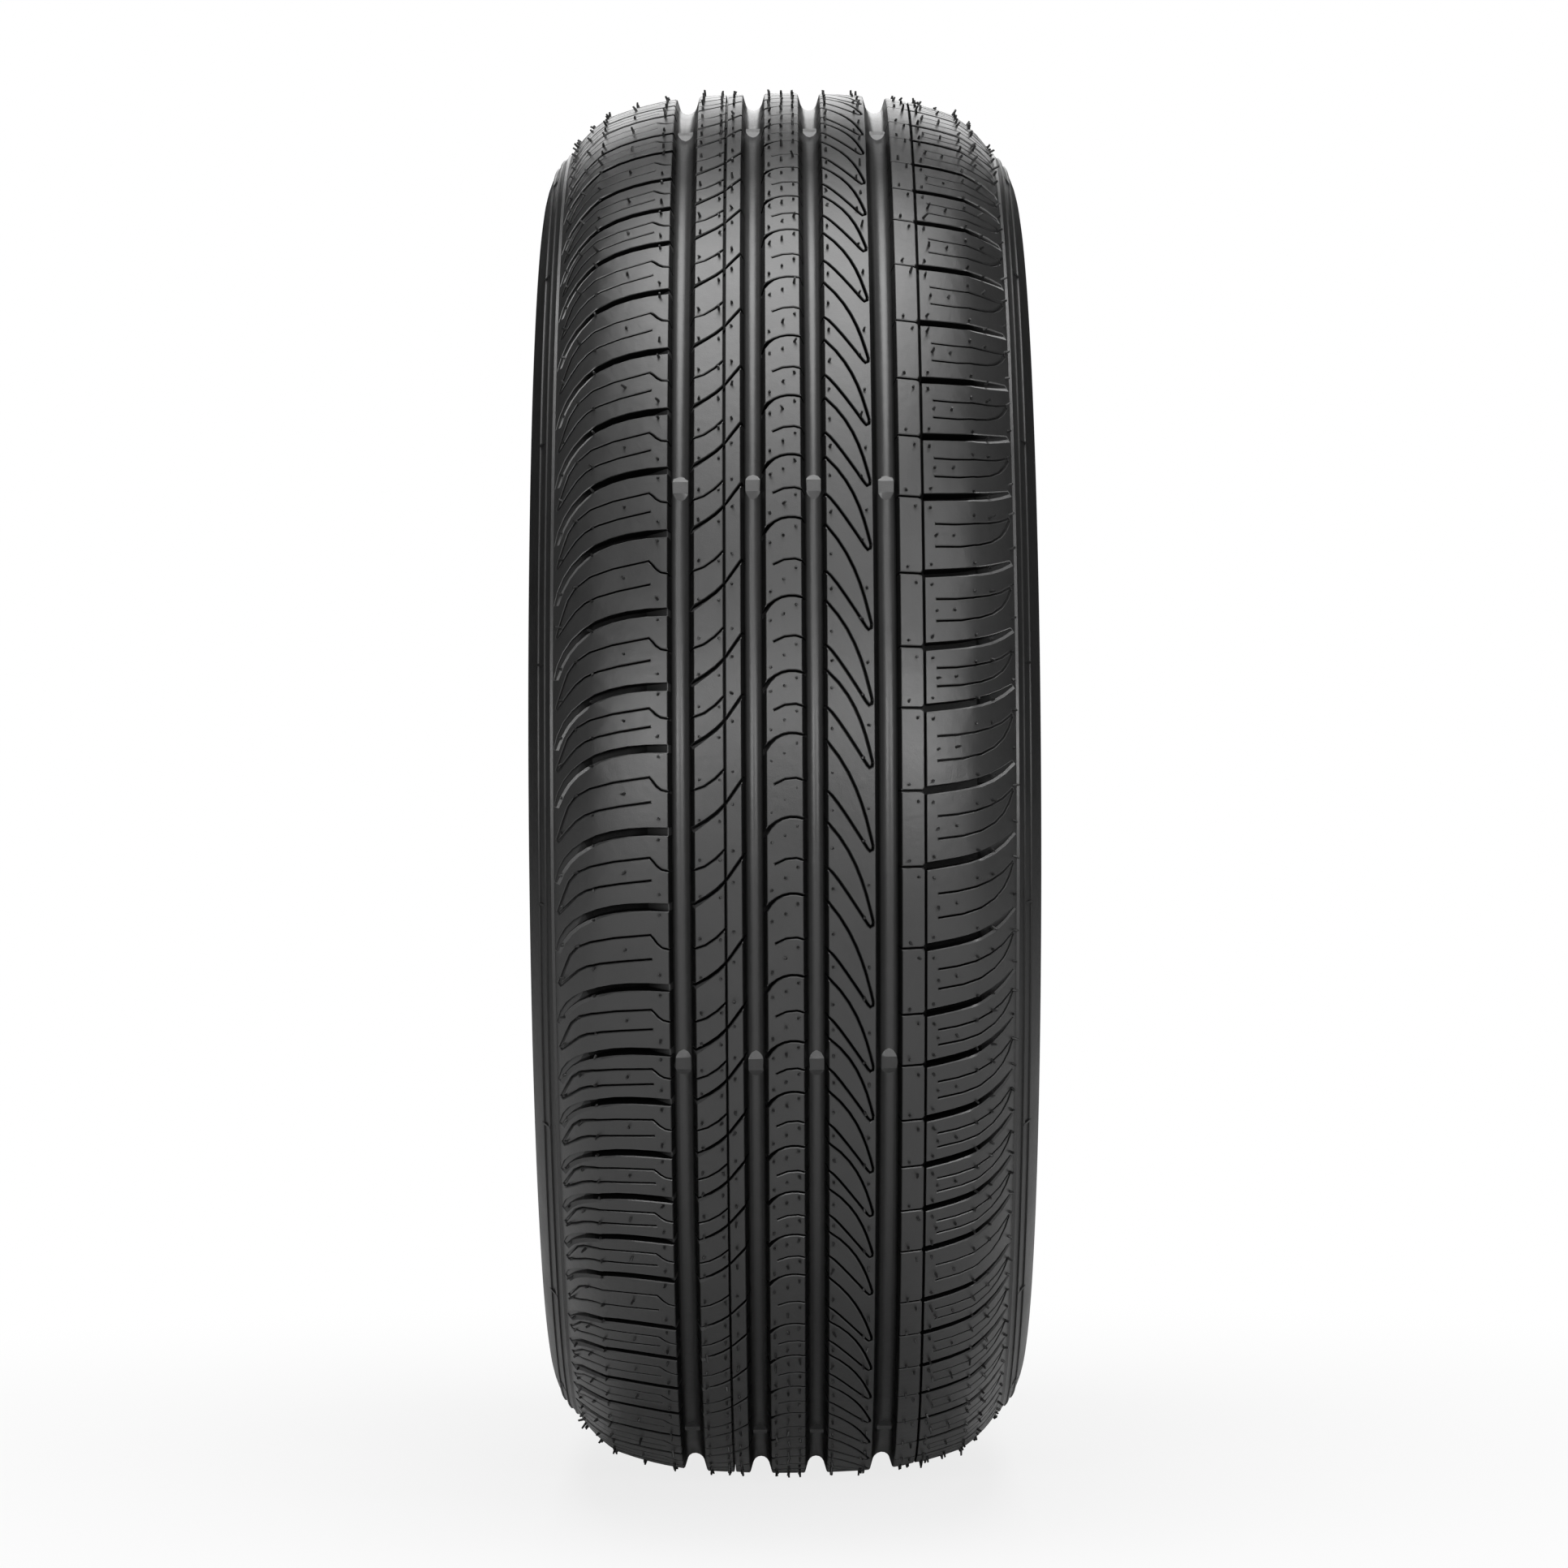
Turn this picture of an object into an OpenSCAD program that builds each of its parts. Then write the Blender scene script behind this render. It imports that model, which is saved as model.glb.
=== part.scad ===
// A tubeless radial car tyre, 205/55 R16, moulded in one piece, without a rim.
// Millimetres. It stands upright as it rolls: the origin is its centre, the
// spin axis is +Y and +Z is up. The front view looks at the tread from +X, so
// left is -Y and right is +Y. The right half's pattern isn't the left's mirrored.

/* [Main sizes] */
// Height of the section, from the bead seats to the top of the tread
section_h = 113.2; // [108:0.1:118]
// Width over the sidewalls
section_w = 212; // [207:1:219]
// Diameter of the bead seats, for a 16 inch rim
bead_d = 405.6; // [400:0.1:412]
// Distance between the two bead heels, for a rim 6.5 inches wide
bead_gap = 166; // [160:1:172]

/* [Tread] */
// How far the edges of the tread lie inside the widest part of the sidewalls
tread_inset = 11.4; // [9:0.1:13]
// Width of the nearly flat crown
crown_w = 72; // [60:1:90]
// Width of each rounded shoulder
shoulder_w = 16.5; // [14:0.1:19]
// Radius of the crown across the tread
crown_r = 560; // [400:10:900]
// Slope of the tread beside the rounded shoulders
side_slope = 21; // [17:0.5:26]
// Slope of the rounded shoulders where they start
shoulder_slope = 32; // [27:0.5:38]
// Slope of the tread at its edges
edge_slope = 58; // [52:0.5:66]
// Depth of the four main grooves
groove_depth = 7.6; // [6:0.1:8.5]
// Slope of the walls of the main grooves
groove_draft = 15; // [8:1:20]
// Distance of the two inner grooves from the middle
inner_groove_at = 12.4; // [11:0.1:14]
// Width of the two inner grooves
inner_groove_w = 9.8; // [8:0.1:11]
// Distance of the two outer grooves from the middle
outer_groove_at = 42; // [40:0.1:44]
// Width of the two outer grooves
outer_groove_w = 10.4; // [8:0.1:12]
// Distance of the thin groove in the left rib from the middle
left_hairline_at = 24.2; // [22:0.1:26]
// Distance of the thin groove in the right shoulder from the middle
right_hairline_at = 57; // [55:0.1:60]
// Width of the two thin grooves
hairline_w = 0.9; // [0.6:0.1:1.4]
// Depth of the two thin grooves
hairline_depth = 3.5; // [2:0.1:5]

/* [Blocks and cuts] */
// Lengths of the five sorts of pitch, from the shortest, a, to the longest, e
pitch_lengths = [22.7, 25.4, 28.4, 31.2, 33.9];
// Order of the pitches round the tread, downwards from the front view's first one
pitch_order = "cbbdedccedbedecabaaadabbcdecdcbabcbdceecdcbaabbacddecddccabacedcbabcada";
// Angle at which the first pitch starts, up from +X
first_pitch_at = 61.2; // [0:0.1:90]
// Lead of the right shoulder's pitches over the left shoulder's
right_lead = 16.2; // [10:0.1:20]
// Lead of the middle rib's pitches over the left shoulder's
middle_lead = 5.2; // [2:0.1:9]
// Width of the shoulders' cross grooves at their inner ends
cross_groove_w = 3.3; // [2.4:0.1:4]
// Depth of the cross grooves
cross_groove_depth = 6.2; // [4:0.1:7]
// Width of the curved cuts in the ribs
cut_w = 1; // [0.6:0.1:1.4]
// Depth of the curved cuts
cut_depth = 5; // [3:0.1:6]

/* [Wear bars] */
// Sets of wear bars round the tread
wear_sets = 8; // [6:1:10]
// Angle of the first set, up from +X
wear_at = 23.2; // [0:0.1:45]
// Height of a wear bar above the bottom of its groove
wear_h = 1.6; // [1:0.1:2]
// Length of a wear bar's flat top
wear_l = 5.2; // [4:0.1:8]
// Length of each sloping end of a wear bar
wear_slope_l = 3.2; // [1.6:0.1:4]

/* [Sidewalls and beads] */
// Rubber and belts under the main grooves
base_t = 8.4; // [7:0.1:10]
// Thickness of a sidewall at its widest point
side_t = 7.5; // [6:0.1:9]
// How far the widest part of the sidewalls lies below the ledges
upper_wall_h = 23; // [20:0.5:28]
// Width of the ledge at the edge of the tread
ledge_w = 1.5; // [1:0.1:2]
// Height of the fine ribs round the sidewalls
fine_rib_h = 0.6; // [0.4:0.1:1]
// How far the fine ribs' middle lies below the ledges
fine_rib_down = 7; // [4:0.5:15]
// Distance between the two fine ribs
fine_rib_pitch = 5; // [3:0.5:10]
// Width of a fine rib
fine_rib_w = 1.8; // [1:0.1:3]
// Height of the rim protector's edge above the place where the wall turns
protector_up = 1.6; // [0:0.1:3]
// How far the rim protector stands out past that place
protector_out = 6; // [4:0.5:8]
// Width of a bead from heel to toe
bead_w = 13.3; // [12.5:0.1:14.5]
// Length of the straight seat on a bead
seat_l = 8; // [7.5:0.1:8.5]
// Height above the seat at which the bead's outer face starts to bend out
bead_h = 7.2; // [6.5:0.1:9]

/* [Hidden] */

$fn = 180;
over = 3;
rubber = [0.13, 0.13, 0.14];

seat_r = bead_d / 2;
tread_r = seat_r + section_h;
heel_y = bead_gap / 2;
side_y = section_w / 2;
tread_edge = side_y - tread_inset;
shoulder_at = tread_edge - shoulder_w;
crown_at = crown_w / 2;
inner_near = inner_groove_at - inner_groove_w / 2;
inner_far = inner_groove_at + inner_groove_w / 2;
outer_near = outer_groove_at - outer_groove_w / 2;
outer_far = outer_groove_at + outer_groove_w / 2;

function last(v) = v[len(v) - 1];
function reversed(v) = [for (i = [len(v) - 1:-1:0]) v[i]];
function mirrored(v) = [for (p = reversed(v)) [-p[0], p[1]]];

// The tread's surface: three arcs across it on each side, the outer one with a slight edge
// to the next, and drop() is how far it lies below the middle at the distance s from it
crown_slope = asin(crown_at / crown_r);
side_tread_r = (shoulder_at - crown_at) / (sin(side_slope) - sin(crown_slope));
shoulder_r = shoulder_w / (sin(edge_slope) - sin(shoulder_slope));
function arc_drop(d, r, slope) = r * (cos(slope) - cos(asin(sin(slope) + d / r)));
crown_drop = arc_drop(crown_at, crown_r, 0);
side_drop = crown_drop + arc_drop(shoulder_at - crown_at, side_tread_r, crown_slope);
function drop(s) =
    s <= crown_at ? arc_drop(s, crown_r, 0)
    : s <= shoulder_at ? crown_drop + arc_drop(s - crown_at, side_tread_r, crown_slope)
    : side_drop + arc_drop(min(s, tread_edge) - shoulder_at, shoulder_r, shoulder_slope);
function surface_r(s) = tread_r - drop(abs(s));

// n points along an arc of radius r that starts at p on the heading h and turns right by a
function arc_points(p, h, r, a, n) =
    [for (i = [1:n]) let (t = a * i / n) p + r * [sin(h) - sin(h - t), cos(h - t) - cos(h)]];
// n points along an arc from p up to q, where it is upright
function bulge(p, q, n) =
    let (d = q - p, r = (d * d) / 2 / d[0], a = asin(-d[1] / r))
    [for (i = [1:n]) let (t = a * (1 - i / n)) q + r * [cos(t) - 1, sin(t)]];
// Two arcs from p to q, upright at both, the first with share k of their radii
function s_bend(p, q, k, n) =
    let (d = q - p, a = 2 * atan(d[0] / d[1]), r = -d[1] / sin(a))
    concat(
        [for (i = [1:n]) let (t = a * i / n) p + k * r * [cos(t) - 1, -sin(t)]],
        [for (i = [1:n]) let (t = a * (1 - i / n)) q + (1 - k) * r * [1 - cos(t), sin(t)]]);

// The outer half of the section, from the middle rib's edge to the seat of the bead
crown_line = concat(
    [for (s = [inner_near, inner_far, outer_near]) [s, surface_r(s)]],
    arc_points([crown_at, tread_r - crown_drop], -crown_slope, side_tread_r,
        side_slope - crown_slope, 2),
    arc_points([shoulder_at, tread_r - side_drop], -shoulder_slope, shoulder_r,
        edge_slope - shoulder_slope, 3));
ledge = last(crown_line) + ledge_w * [cos(25), -sin(25)];
wall_top = ledge + [0.5, -1.2];
widest = [side_y, wall_top[1] - upper_wall_h];
wall_foot = [heel_y, seat_r + bead_h];
heel_r = bead_w - seat_l - 1.3;
outer_line = concat(
    crown_line,
    [ledge, wall_top],
    bulge(wall_top, widest, 5),
    s_bend(widest, wall_foot, 0.6, 4),
    arc_points([heel_y, seat_r + heel_r], -90, heel_r, 90, 3));

// The inner half of the section, from the toe of the bead up to the middle
toe = [heel_y - bead_w, seat_r + 1.3];
bead_top = [toe[0], seat_r + bead_h - 2];
cavity_y = side_y - side_t;
cavity_h = tread_r - groove_depth - base_t - widest[1];
cavity_power = 2.7;
cavity_steps = 8;
inner_line = concat(
    [[heel_y - heel_r - seat_l, seat_r], toe],
    reversed(s_bend([cavity_y, widest[1]], bead_top, 0.55, 4)),
    [for (i = [0:cavity_steps]) let (t = i * 84 / cavity_steps)
        [cavity_y * pow(cos(t), 2 / cavity_power), widest[1] + cavity_h * pow(sin(t), 2 / cavity_power)]]);

module sidewall_section() {
    turn = widest + 0.6 * (wall_foot - widest);
    edge = turn + [protector_out, protector_up];
    polygon([turn + [-1, protector_up + 5], edge + [0, 1], edge - [0, 1], turn + [-8, protector_up - 10]]);
    wall_r = (widest - wall_top) * (widest - wall_top) / 2 / (widest[0] - wall_top[0]);
    for (side = [-1, 1]) {
        r = wall_top[1] - fine_rib_down + side * fine_rib_pitch / 2;
        y = side_y - wall_r + sqrt(wall_r * wall_r - (r - widest[1]) * (r - widest[1]));
        translate([y, r]) rotate(asin((r - widest[1]) / wall_r)) translate([-1, -fine_rib_w / 2])
            square([1 + fine_rib_h, fine_rib_w]);
    }
}

module section() {
    half = concat(outer_line, inner_line);
    polygon(concat(half, mirrored(half)));
    sidewall_section();
    mirror([1, 0, 0]) sidewall_section();
}

// A main groove's section, at s from the middle and w wide at the surface: sloping walls and
// a round floor tangent to them
module groove_section(s, w) {
    floor_r = (w / 2 * cos(groove_draft) - groove_depth * sin(groove_draft)) / (1 - sin(groove_draft));
    half = concat(
        [[w / 2 + over * tan(groove_draft), groove_depth + over]],
        [for (a = [groove_draft, 40, 65]) floor_r * [cos(a), 1 - sin(a)]]);
    translate([s, surface_r(s) - groove_depth]) polygon(concat(half, [[0, 0]], mirrored(half)));
}

module hairline_section(s) {
    translate([s - hairline_w / 2, surface_r(s) - hairline_depth])
        square([hairline_w, hairline_depth + over]);
}

module round_grooves() {
    for (side = [-1, 1]) {
        groove_section(side * inner_groove_at, inner_groove_w);
        groove_section(side * outer_groove_at, outer_groove_w);
    }
    hairline_section(-left_hairline_at);
    hairline_section(right_hairline_at);
}

module turned() {
    rotate([90, 0, 0]) rotate_extrude() rotate(-90) children();
}

// The frame of the tread at an angle: X across it, Y up round it and Z outwards
module on_tread(angle) {
    rotate([0, -angle, 0]) rotate([90, 0, 90]) children();
}

module wear_bar(s, w) {
    foot = wear_l / 2 + wear_slope_l * (1 + 1 / wear_h);
    translate([s, 0, surface_r(s) - groove_depth]) rotate([90, 0, 90])
        linear_extrude(w - 1, center = true)
            polygon([[-foot, -1], [foot, -1], [wear_l / 2, wear_h], [-wear_l / 2, wear_h]]);
}

module wear_bars() {
    for (i = [0:wear_sets - 1], side = [-1, 1]) on_tread(wear_at + i * 360 / wear_sets) {
        wear_bar(side * inner_groove_at, inner_groove_w);
        wear_bar(side * outer_groove_at, outer_groove_w);
    }
}

// A smooth curve through n steps, from four control points
function curve(p, n) =
    [for (i = [0:n]) let (t = i / n, u = 1 - t)
        u * u * u * p[0] + 3 * u * u * t * p[1] + 3 * u * t * t * p[2] + t * t * t * p[3]];
// Control points given as a share of the way from a to b across the tread, and mm round it
function across(a, b, p) = [for (q = p) [a + (b - a) * q[0], q[1]]];
// A path whose first or last point is moved on past the rib's edge, into the groove there
function past(p, q) = p + (p - q) / norm(p - q) * over;
function from_groove(v) = [for (i = [0:len(v) - 1]) i == 0 ? past(v[0], v[1]) : v[i]];
function into_groove(v) = reversed(from_groove(reversed(v)));

// The outline of a cut along a path, with the cut's width at each of its points
function side_step(v, i, w) =
    let (d = v[min(i + 1, len(v) - 1)] - v[max(i - 1, 0)]) [-d[1], d[0]] / norm(d) * w / 2;
function ribbon(v, w) = concat(
    [for (i = [0:len(v) - 1]) v[i] + side_step(v, i, w[i])],
    [for (i = [len(v) - 1:-1:0]) v[i] - side_step(v, i, w[i])]);
function even(v, w) = [for (p = v) w];
function tapered(v) =
    [for (i = [0:len(v) - 1]) cross_groove_w * (1 - 0.7 * pow(i / (len(v) - 1), 4))];

// A cut with a flat floor into the rib round s, from its outline across and round the tread
module rib_cut(s) {
    translate([0, 0, surface_r(s) - cut_depth]) linear_extrude(cut_depth + over) children();
}

// A cut into the shoulder on one side, whose floor follows the rounded surface and rises to it
// at the edge: shares of the way to the edge, each with its share of the depth. Beside the
// main groove it is raised, as the bar there ties two blocks together
shoulder_floor = [[-0.1, 0.64], [0.13, 0.64], [0.17, 1], [0.5, 0.95], [0.8, 0.65], [1, 0.1]];
module shoulder_cut(side) {
    line = [for (f = shoulder_floor) let (s = outer_far + (tread_edge - outer_far) * f[0])
        [side * s, surface_r(s) - cross_groove_depth * f[1]]];
    top = tread_r + over;
    intersection() {
        translate([0, 0, last(line)[1] - over]) linear_extrude(top - last(line)[1] + over) children();
        rotate([90, 0, 0]) linear_extrude(2 * last(pitch_lengths), center = true)
            polygon(concat(line, [[last(line)[0], top], [line[0][0], top]]));
    }
}

// Each cut below starts at its pitch's own angle and lies round its own middle, mid, so
// that its floor keeps to the tread's curve
module left_cross_groove(mid) {
    path = from_groove(curve(across(-outer_far, -tread_edge,
        [[0, 0], [0.57, 1], [0.89, -5.2], [0.97, -23]]), 4));
    shoulder_cut(-1) translate([0, -mid]) polygon(ribbon(path, tapered(path)));
}

module left_rib_arc(mid) {
    path = into_groove(from_groove(curve(across(-outer_near, -inner_far,
        [[0, 1.6], [0.635, 8.3], [0.66, 12], [1, 21]]), 3)));
    rib_cut(left_hairline_at) translate([0, -mid]) polygon(ribbon(path, even(path, cut_w)));
}

module middle_arc() {
    path = into_groove(from_groove(curve(across(-inner_near, inner_near,
        [[0, -5.6], [0.24, 0.6], [0.64, 1.8], [1, 0]]), 3)));
    rib_cut(0) polygon(ribbon(path, even(path, cut_w)));
}

// A leaf in the right rib: down one curve from the groove, round the tip and back up another
module right_rib_leaf(pitch_above) {
    down = curve(across(inner_far, outer_near,
        [[0, 0.595 * pitch_above], [0.615, 0.175 * pitch_above], [0.795, -10], [0.94, -21.5]]), 3);
    back = curve(across(inner_far, outer_near,
        [[0.85, -22.6], [0.451, -11.5], [0.123, -1.4], [0, 0]]), 2);
    path = into_groove(from_groove(concat(down, across(inner_far, outer_near, [[0.9, -24]]), back)));
    rib_cut((inner_far + outer_near) / 2) polygon(ribbon(path, even(path, cut_w)));
}

module right_cross_groove(mid) {
    start = (right_hairline_at - outer_far) / (tread_edge - outer_far);
    path = curve(across(outer_far, tread_edge,
        [[start, 0], [0.541, 2.1], [0.749, 2.2], [0.97, 12.6]]), 3);
    shoulder_cut(1) translate([0, -mid]) polygon(ribbon(path, tapered(path)));
}

// The pitches, as angles: each starts where the one above it ends
sorts = [for (c = pitch_order) pitch_lengths[ord(c) - ord("a")]];
pitches = len(sorts);
function sum(v, n) = n == 0 ? 0 : v[n - 1] + sum(v, n - 1);
to_angle = 180 / PI / tread_r;
scale_to_turn = 360 / sum(sorts, pitches);

module tread_cuts() {
    for (i = [0:pitches - 1]) {
        start = first_pitch_at - sum(sorts, i) * scale_to_turn;
        above = sorts[(i + pitches - 1) % pitches] * scale_to_turn / to_angle;
        on_tread(start - 8 * to_angle) left_cross_groove(-8);
        on_tread(start + 10 * to_angle) left_rib_arc(10);
        on_tread(start + middle_lead * to_angle) middle_arc();
        on_tread(start + right_lead * to_angle) right_rib_leaf(above);
        on_tread(start + (right_lead + 5) * to_angle) right_cross_groove(5);
    }
}

module tyre() {
    color(rubber) difference() {
        union() {
            turned() difference() {
                section();
                round_grooves();
            }
            wear_bars();
        }
        tread_cuts();
    }
}

tyre();
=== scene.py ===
# %% [markdown]
# A new car tyre, standing upright, seen straight at its tread. The real thing is one
# moulded piece of black rubber: a tread with four straight rain grooves and hundreds of
# curved cuts, rounded shoulders, plain sidewalls and two beads. This lesson models it as
# one closed mesh, adds the rubber hairs that the mould's vents leave, and lights it softly
# on a white floor.

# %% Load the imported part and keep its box
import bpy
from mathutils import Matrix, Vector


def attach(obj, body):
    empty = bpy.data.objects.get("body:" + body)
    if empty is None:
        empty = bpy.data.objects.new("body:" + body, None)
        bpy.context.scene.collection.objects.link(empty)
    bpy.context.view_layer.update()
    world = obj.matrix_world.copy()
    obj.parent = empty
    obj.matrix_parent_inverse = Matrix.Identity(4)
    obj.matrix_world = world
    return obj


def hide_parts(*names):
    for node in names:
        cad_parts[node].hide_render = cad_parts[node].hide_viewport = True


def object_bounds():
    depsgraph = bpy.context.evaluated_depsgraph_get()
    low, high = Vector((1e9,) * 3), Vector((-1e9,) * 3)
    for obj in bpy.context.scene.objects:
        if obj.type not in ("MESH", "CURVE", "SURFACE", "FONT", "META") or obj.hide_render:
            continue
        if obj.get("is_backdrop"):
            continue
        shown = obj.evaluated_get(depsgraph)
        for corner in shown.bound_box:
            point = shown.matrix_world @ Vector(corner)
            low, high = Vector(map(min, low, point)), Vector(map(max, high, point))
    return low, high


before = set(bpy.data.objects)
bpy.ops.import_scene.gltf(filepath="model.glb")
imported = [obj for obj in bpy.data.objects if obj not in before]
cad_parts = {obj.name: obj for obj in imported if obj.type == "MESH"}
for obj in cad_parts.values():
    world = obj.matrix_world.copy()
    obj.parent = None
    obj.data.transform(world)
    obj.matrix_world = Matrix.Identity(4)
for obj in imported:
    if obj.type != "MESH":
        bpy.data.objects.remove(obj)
cad_low, cad_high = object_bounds()

import copy
import math
from collections import defaultdict

import bpy
import numpy as np
from mathutils import Vector, geometry, kdtree

MM = 0.001
axle = (cad_low + cad_high) / 2
tread_r = (cad_high.z - cad_low.z) / 2 / MM
section_half = (cad_high.y - cad_low.y) / 2 / MM
round_length = 2 * math.pi * tread_r
print(f"The tyre is {2 * tread_r:.1f} mm high and {2 * section_half:.1f} mm wide")

# %% [markdown]
# The tread is drawn flat first, as a tyre designer does: s runs across it in millimetres,
# from the left edge to the right edge, and t runs round it, upwards from the middle of the
# front. A height belongs to each point, measured from the top of the crown. Wrapping the
# drawing round the axle is the last step, so that every curve below is a plain plane curve.
#
# Across the tread the surface is three arcs on each side: a nearly flat crown, a rounder
# side and a tight shoulder. The first two are tangent; the shoulder starts with a soft
# crease, which ends the bright part of the tread.

# %% The tread's surface across
tread_edge = section_half - 11.4
shoulder_w = 16.5
side_half = tread_edge - shoulder_w
crown_half, crown_arc_r = 36.0, 560.0
crown_slope = math.asin(crown_half / crown_arc_r)
side_slope, shoulder_slope, edge_slope = (math.radians(a) for a in (21, 32, 58))
side_arc_r = (side_half - crown_half) / (math.sin(side_slope) - math.sin(crown_slope))
shoulder_arc_r = shoulder_w / (math.sin(edge_slope) - math.sin(shoulder_slope))
ledge_slope = math.radians(12)
ledge_edge = tread_edge + 1.36
crease_w = 0.35
soft_crease_w = 3.0


def arc_fall(run, radius, slope):
    """How far an arc that starts at this slope falls over a run, and its slope there."""
    end = math.asin(min(1, math.sin(slope) + run / radius))
    return radius * (math.cos(slope) - math.cos(end)), end


def surface(s):
    """Height of the uncut tread at s, below the top of the crown, and its tilt to the side."""
    run = abs(s)
    if run <= crown_half:
        fall, slope = arc_fall(run, crown_arc_r, 0)
    elif run <= side_half:
        first, _ = arc_fall(crown_half, crown_arc_r, 0)
        fall, slope = arc_fall(run - crown_half, side_arc_r, crown_slope)
        fall += first
    else:
        first, _ = arc_fall(crown_half, crown_arc_r, 0)
        second, _ = arc_fall(side_half - crown_half, side_arc_r, crown_slope)
        fall, slope = arc_fall(min(run, tread_edge) - side_half, shoulder_arc_r, shoulder_slope)
        fall += first + second
    if run > tread_edge:
        fall += (run - tread_edge) * math.tan(ledge_slope)
        slope = ledge_slope
    return -fall, math.copysign(slope, s)


for s in (25, 58, 80, 90):
    print(f"The surface is {-surface(s)[0]:.1f} mm down at {s} mm from the middle")

# %% [markdown]
# Four straight grooves carry the rain away. A mould leaves them with sloping walls, a
# rounded floor and slightly rounded rims, and those rims are what catches the light. Each
# groove is a short list of columns: a distance from the groove's middle, a depth and the
# wall's tilt there. The tilt is kept because it gives smooth shading later.

# %% The columns of the four main grooves
groove_depth = 7.6
groove_draft = math.radians(15)
grooves = [(-42.0, 10.4), (-12.4, 9.8), (12.4, 9.8), (42.0, 10.4)]
rim_r = 0.5
rib_cut_depth = 5.0


def floor_radius(width):
    """Radius of a groove's round floor, which its sloping walls run into."""
    return ((width / 2 * math.cos(groove_draft) - groove_depth * math.sin(groove_draft))
        / (1 - math.sin(groove_draft)))


def half_floor(width, rise):
    """Half the width of a groove's floor at a height above its lowest line."""
    r = floor_radius(width)
    return math.sqrt(r * r - (r - rise) ** 2)


def groove_columns(width):
    """Half a groove from its rim to its floor: distance from the middle, depth, tilt."""
    half = width / 2
    r = floor_radius(width)
    columns = [(half + rim_r, 0.0, 0.0), (half - 0.04, rim_r, math.pi / 2 - groove_draft)]
    cut_level = math.asin(1 - (groove_depth - rib_cut_depth) / r)
    for turn in (cut_level, math.radians(43), math.radians(66)):
        columns.append((r * math.cos(turn), groove_depth - r * (1 - math.sin(turn)),
            math.pi / 2 - turn))
    return columns


columns = []
for middle, width in grooves:
    columns.append((middle, surface(middle)[0] - groove_depth, surface(middle)[1]))
    for x, depth, wall in groove_columns(width):
        for side in (-1, 1):
            height, tilt = surface(middle + side * x)
            columns.append((middle + side * x, height - depth, tilt - side * wall))
for s in (side_half, side_half + crease_w, tread_edge, tread_edge + 0.2, ledge_edge):
    columns += [(-s, *surface(-s)), (s, *surface(s))]
columns.sort()
column_s = np.array([c[0] for c in columns])
column_h = np.array([c[1] for c in columns])
column_tilt = np.array([c[2] for c in columns])
groove_zones = [(m - w / 2 - rim_r, m + w / 2 + rim_r) for m, w in grooves]


def in_groove(s):
    """Is s between the rims of a main groove?"""
    return any(low <= s <= high for low, high in groove_zones)


def uncut_height(s):
    """The height at s of the tread with its main grooves and without its cuts."""
    return float(np.interp(s, column_s, column_h)) if in_groove(s) else surface(s)[0]


deepest = max(surface(s)[0] - height for s, height, _ in columns)
print(f"{len(columns)} columns, up to {deepest:.1f} mm below the tread")

# %% [markdown]
# The cuts repeat round the tyre, but not evenly: five lengths of block follow each other
# in a shuffled order, so that the tyre hums instead of whining. The order is one string of
# letters, read downwards from the first block that the front view shows.

# %% The pitches round the tread
pitch_lengths = {"a": 22.7, "b": 25.4, "c": 28.4, "d": 31.2, "e": 33.9}
pitch_order = "cbbdedccedbedecabaaadabbcdecdcbabcbdceecdcbaabbacddecddccabacedcbabcada"
first_pitch_at = math.radians(61.2) * tread_r
middle_lead = 5.2
right_lead = 16.2

lengths = [pitch_lengths[letter] for letter in pitch_order]
stretch = round_length / sum(lengths)
lengths = [length * stretch for length in lengths]
pitch_starts = [first_pitch_at - sum(lengths[:i]) for i in range(len(lengths))]
print(f"{len(lengths)} pitches, stretched by {stretch:.4f} to close the round")

# %% [markdown]
# A cut is a path with a width at each of its points. Its outline is a ribbon round the
# path, and a second, wider ribbon marks its bevelled lip. Paths are smooth curves with
# four control points, in shares of a rib's width and millimetres round the tread, like the
# ones in the part's source. Straight outlines would be less work, but the curved ones give
# the tread its look.


# %% Curves and ribbons
def bezier(points, steps):
    """Points along a smooth curve with four control points."""
    p = np.array(points, float)
    u = np.linspace(0, 1, steps + 1)[:, None]
    v = 1 - u
    curve = v**3 * p[0] + 3 * v * v * u * p[1] + 3 * v * u * u * p[2] + u**3 * p[3]
    return [tuple(q) for q in curve]


def across(start, end, points):
    """Points as (share of the way from start to end, mm round) turned into (s, t)."""
    return [(start + (end - start) * share, t) for share, t in points]


def lengthened(path, at_start, at_end):
    """The path with its ends moved on along their own directions."""
    p = [np.array(q, float) for q in path]
    first = p[0] - p[1]
    last = p[-1] - p[-2]
    p[0] = p[0] + first / np.linalg.norm(first) * at_start
    p[-1] = p[-1] + last / np.linalg.norm(last) * at_end
    return [tuple(q) for q in p]


def offset(path, left, right):
    """The outline at a distance to the left and to the right of a path, with mitred bends."""
    p = np.array(path, float)
    d = np.diff(p, axis=0)
    d /= np.linalg.norm(d, axis=1)[:, None]
    normals = np.stack([-d[:, 1], d[:, 0]], axis=1)
    sides = np.vstack([normals[:1], normals[:-1] + normals[1:], normals[-1:]])
    sides /= np.linalg.norm(sides, axis=1)[:, None]
    near = np.vstack([normals[:1], normals])
    sides /= np.maximum(np.sum(sides * near, axis=1), 0.5)[:, None]
    up = p + sides * np.array(left)[:, None]
    down = p - sides * np.array(right)[:, None]
    return [tuple(q) for q in down] + [tuple(q) for q in up[::-1]]


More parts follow.
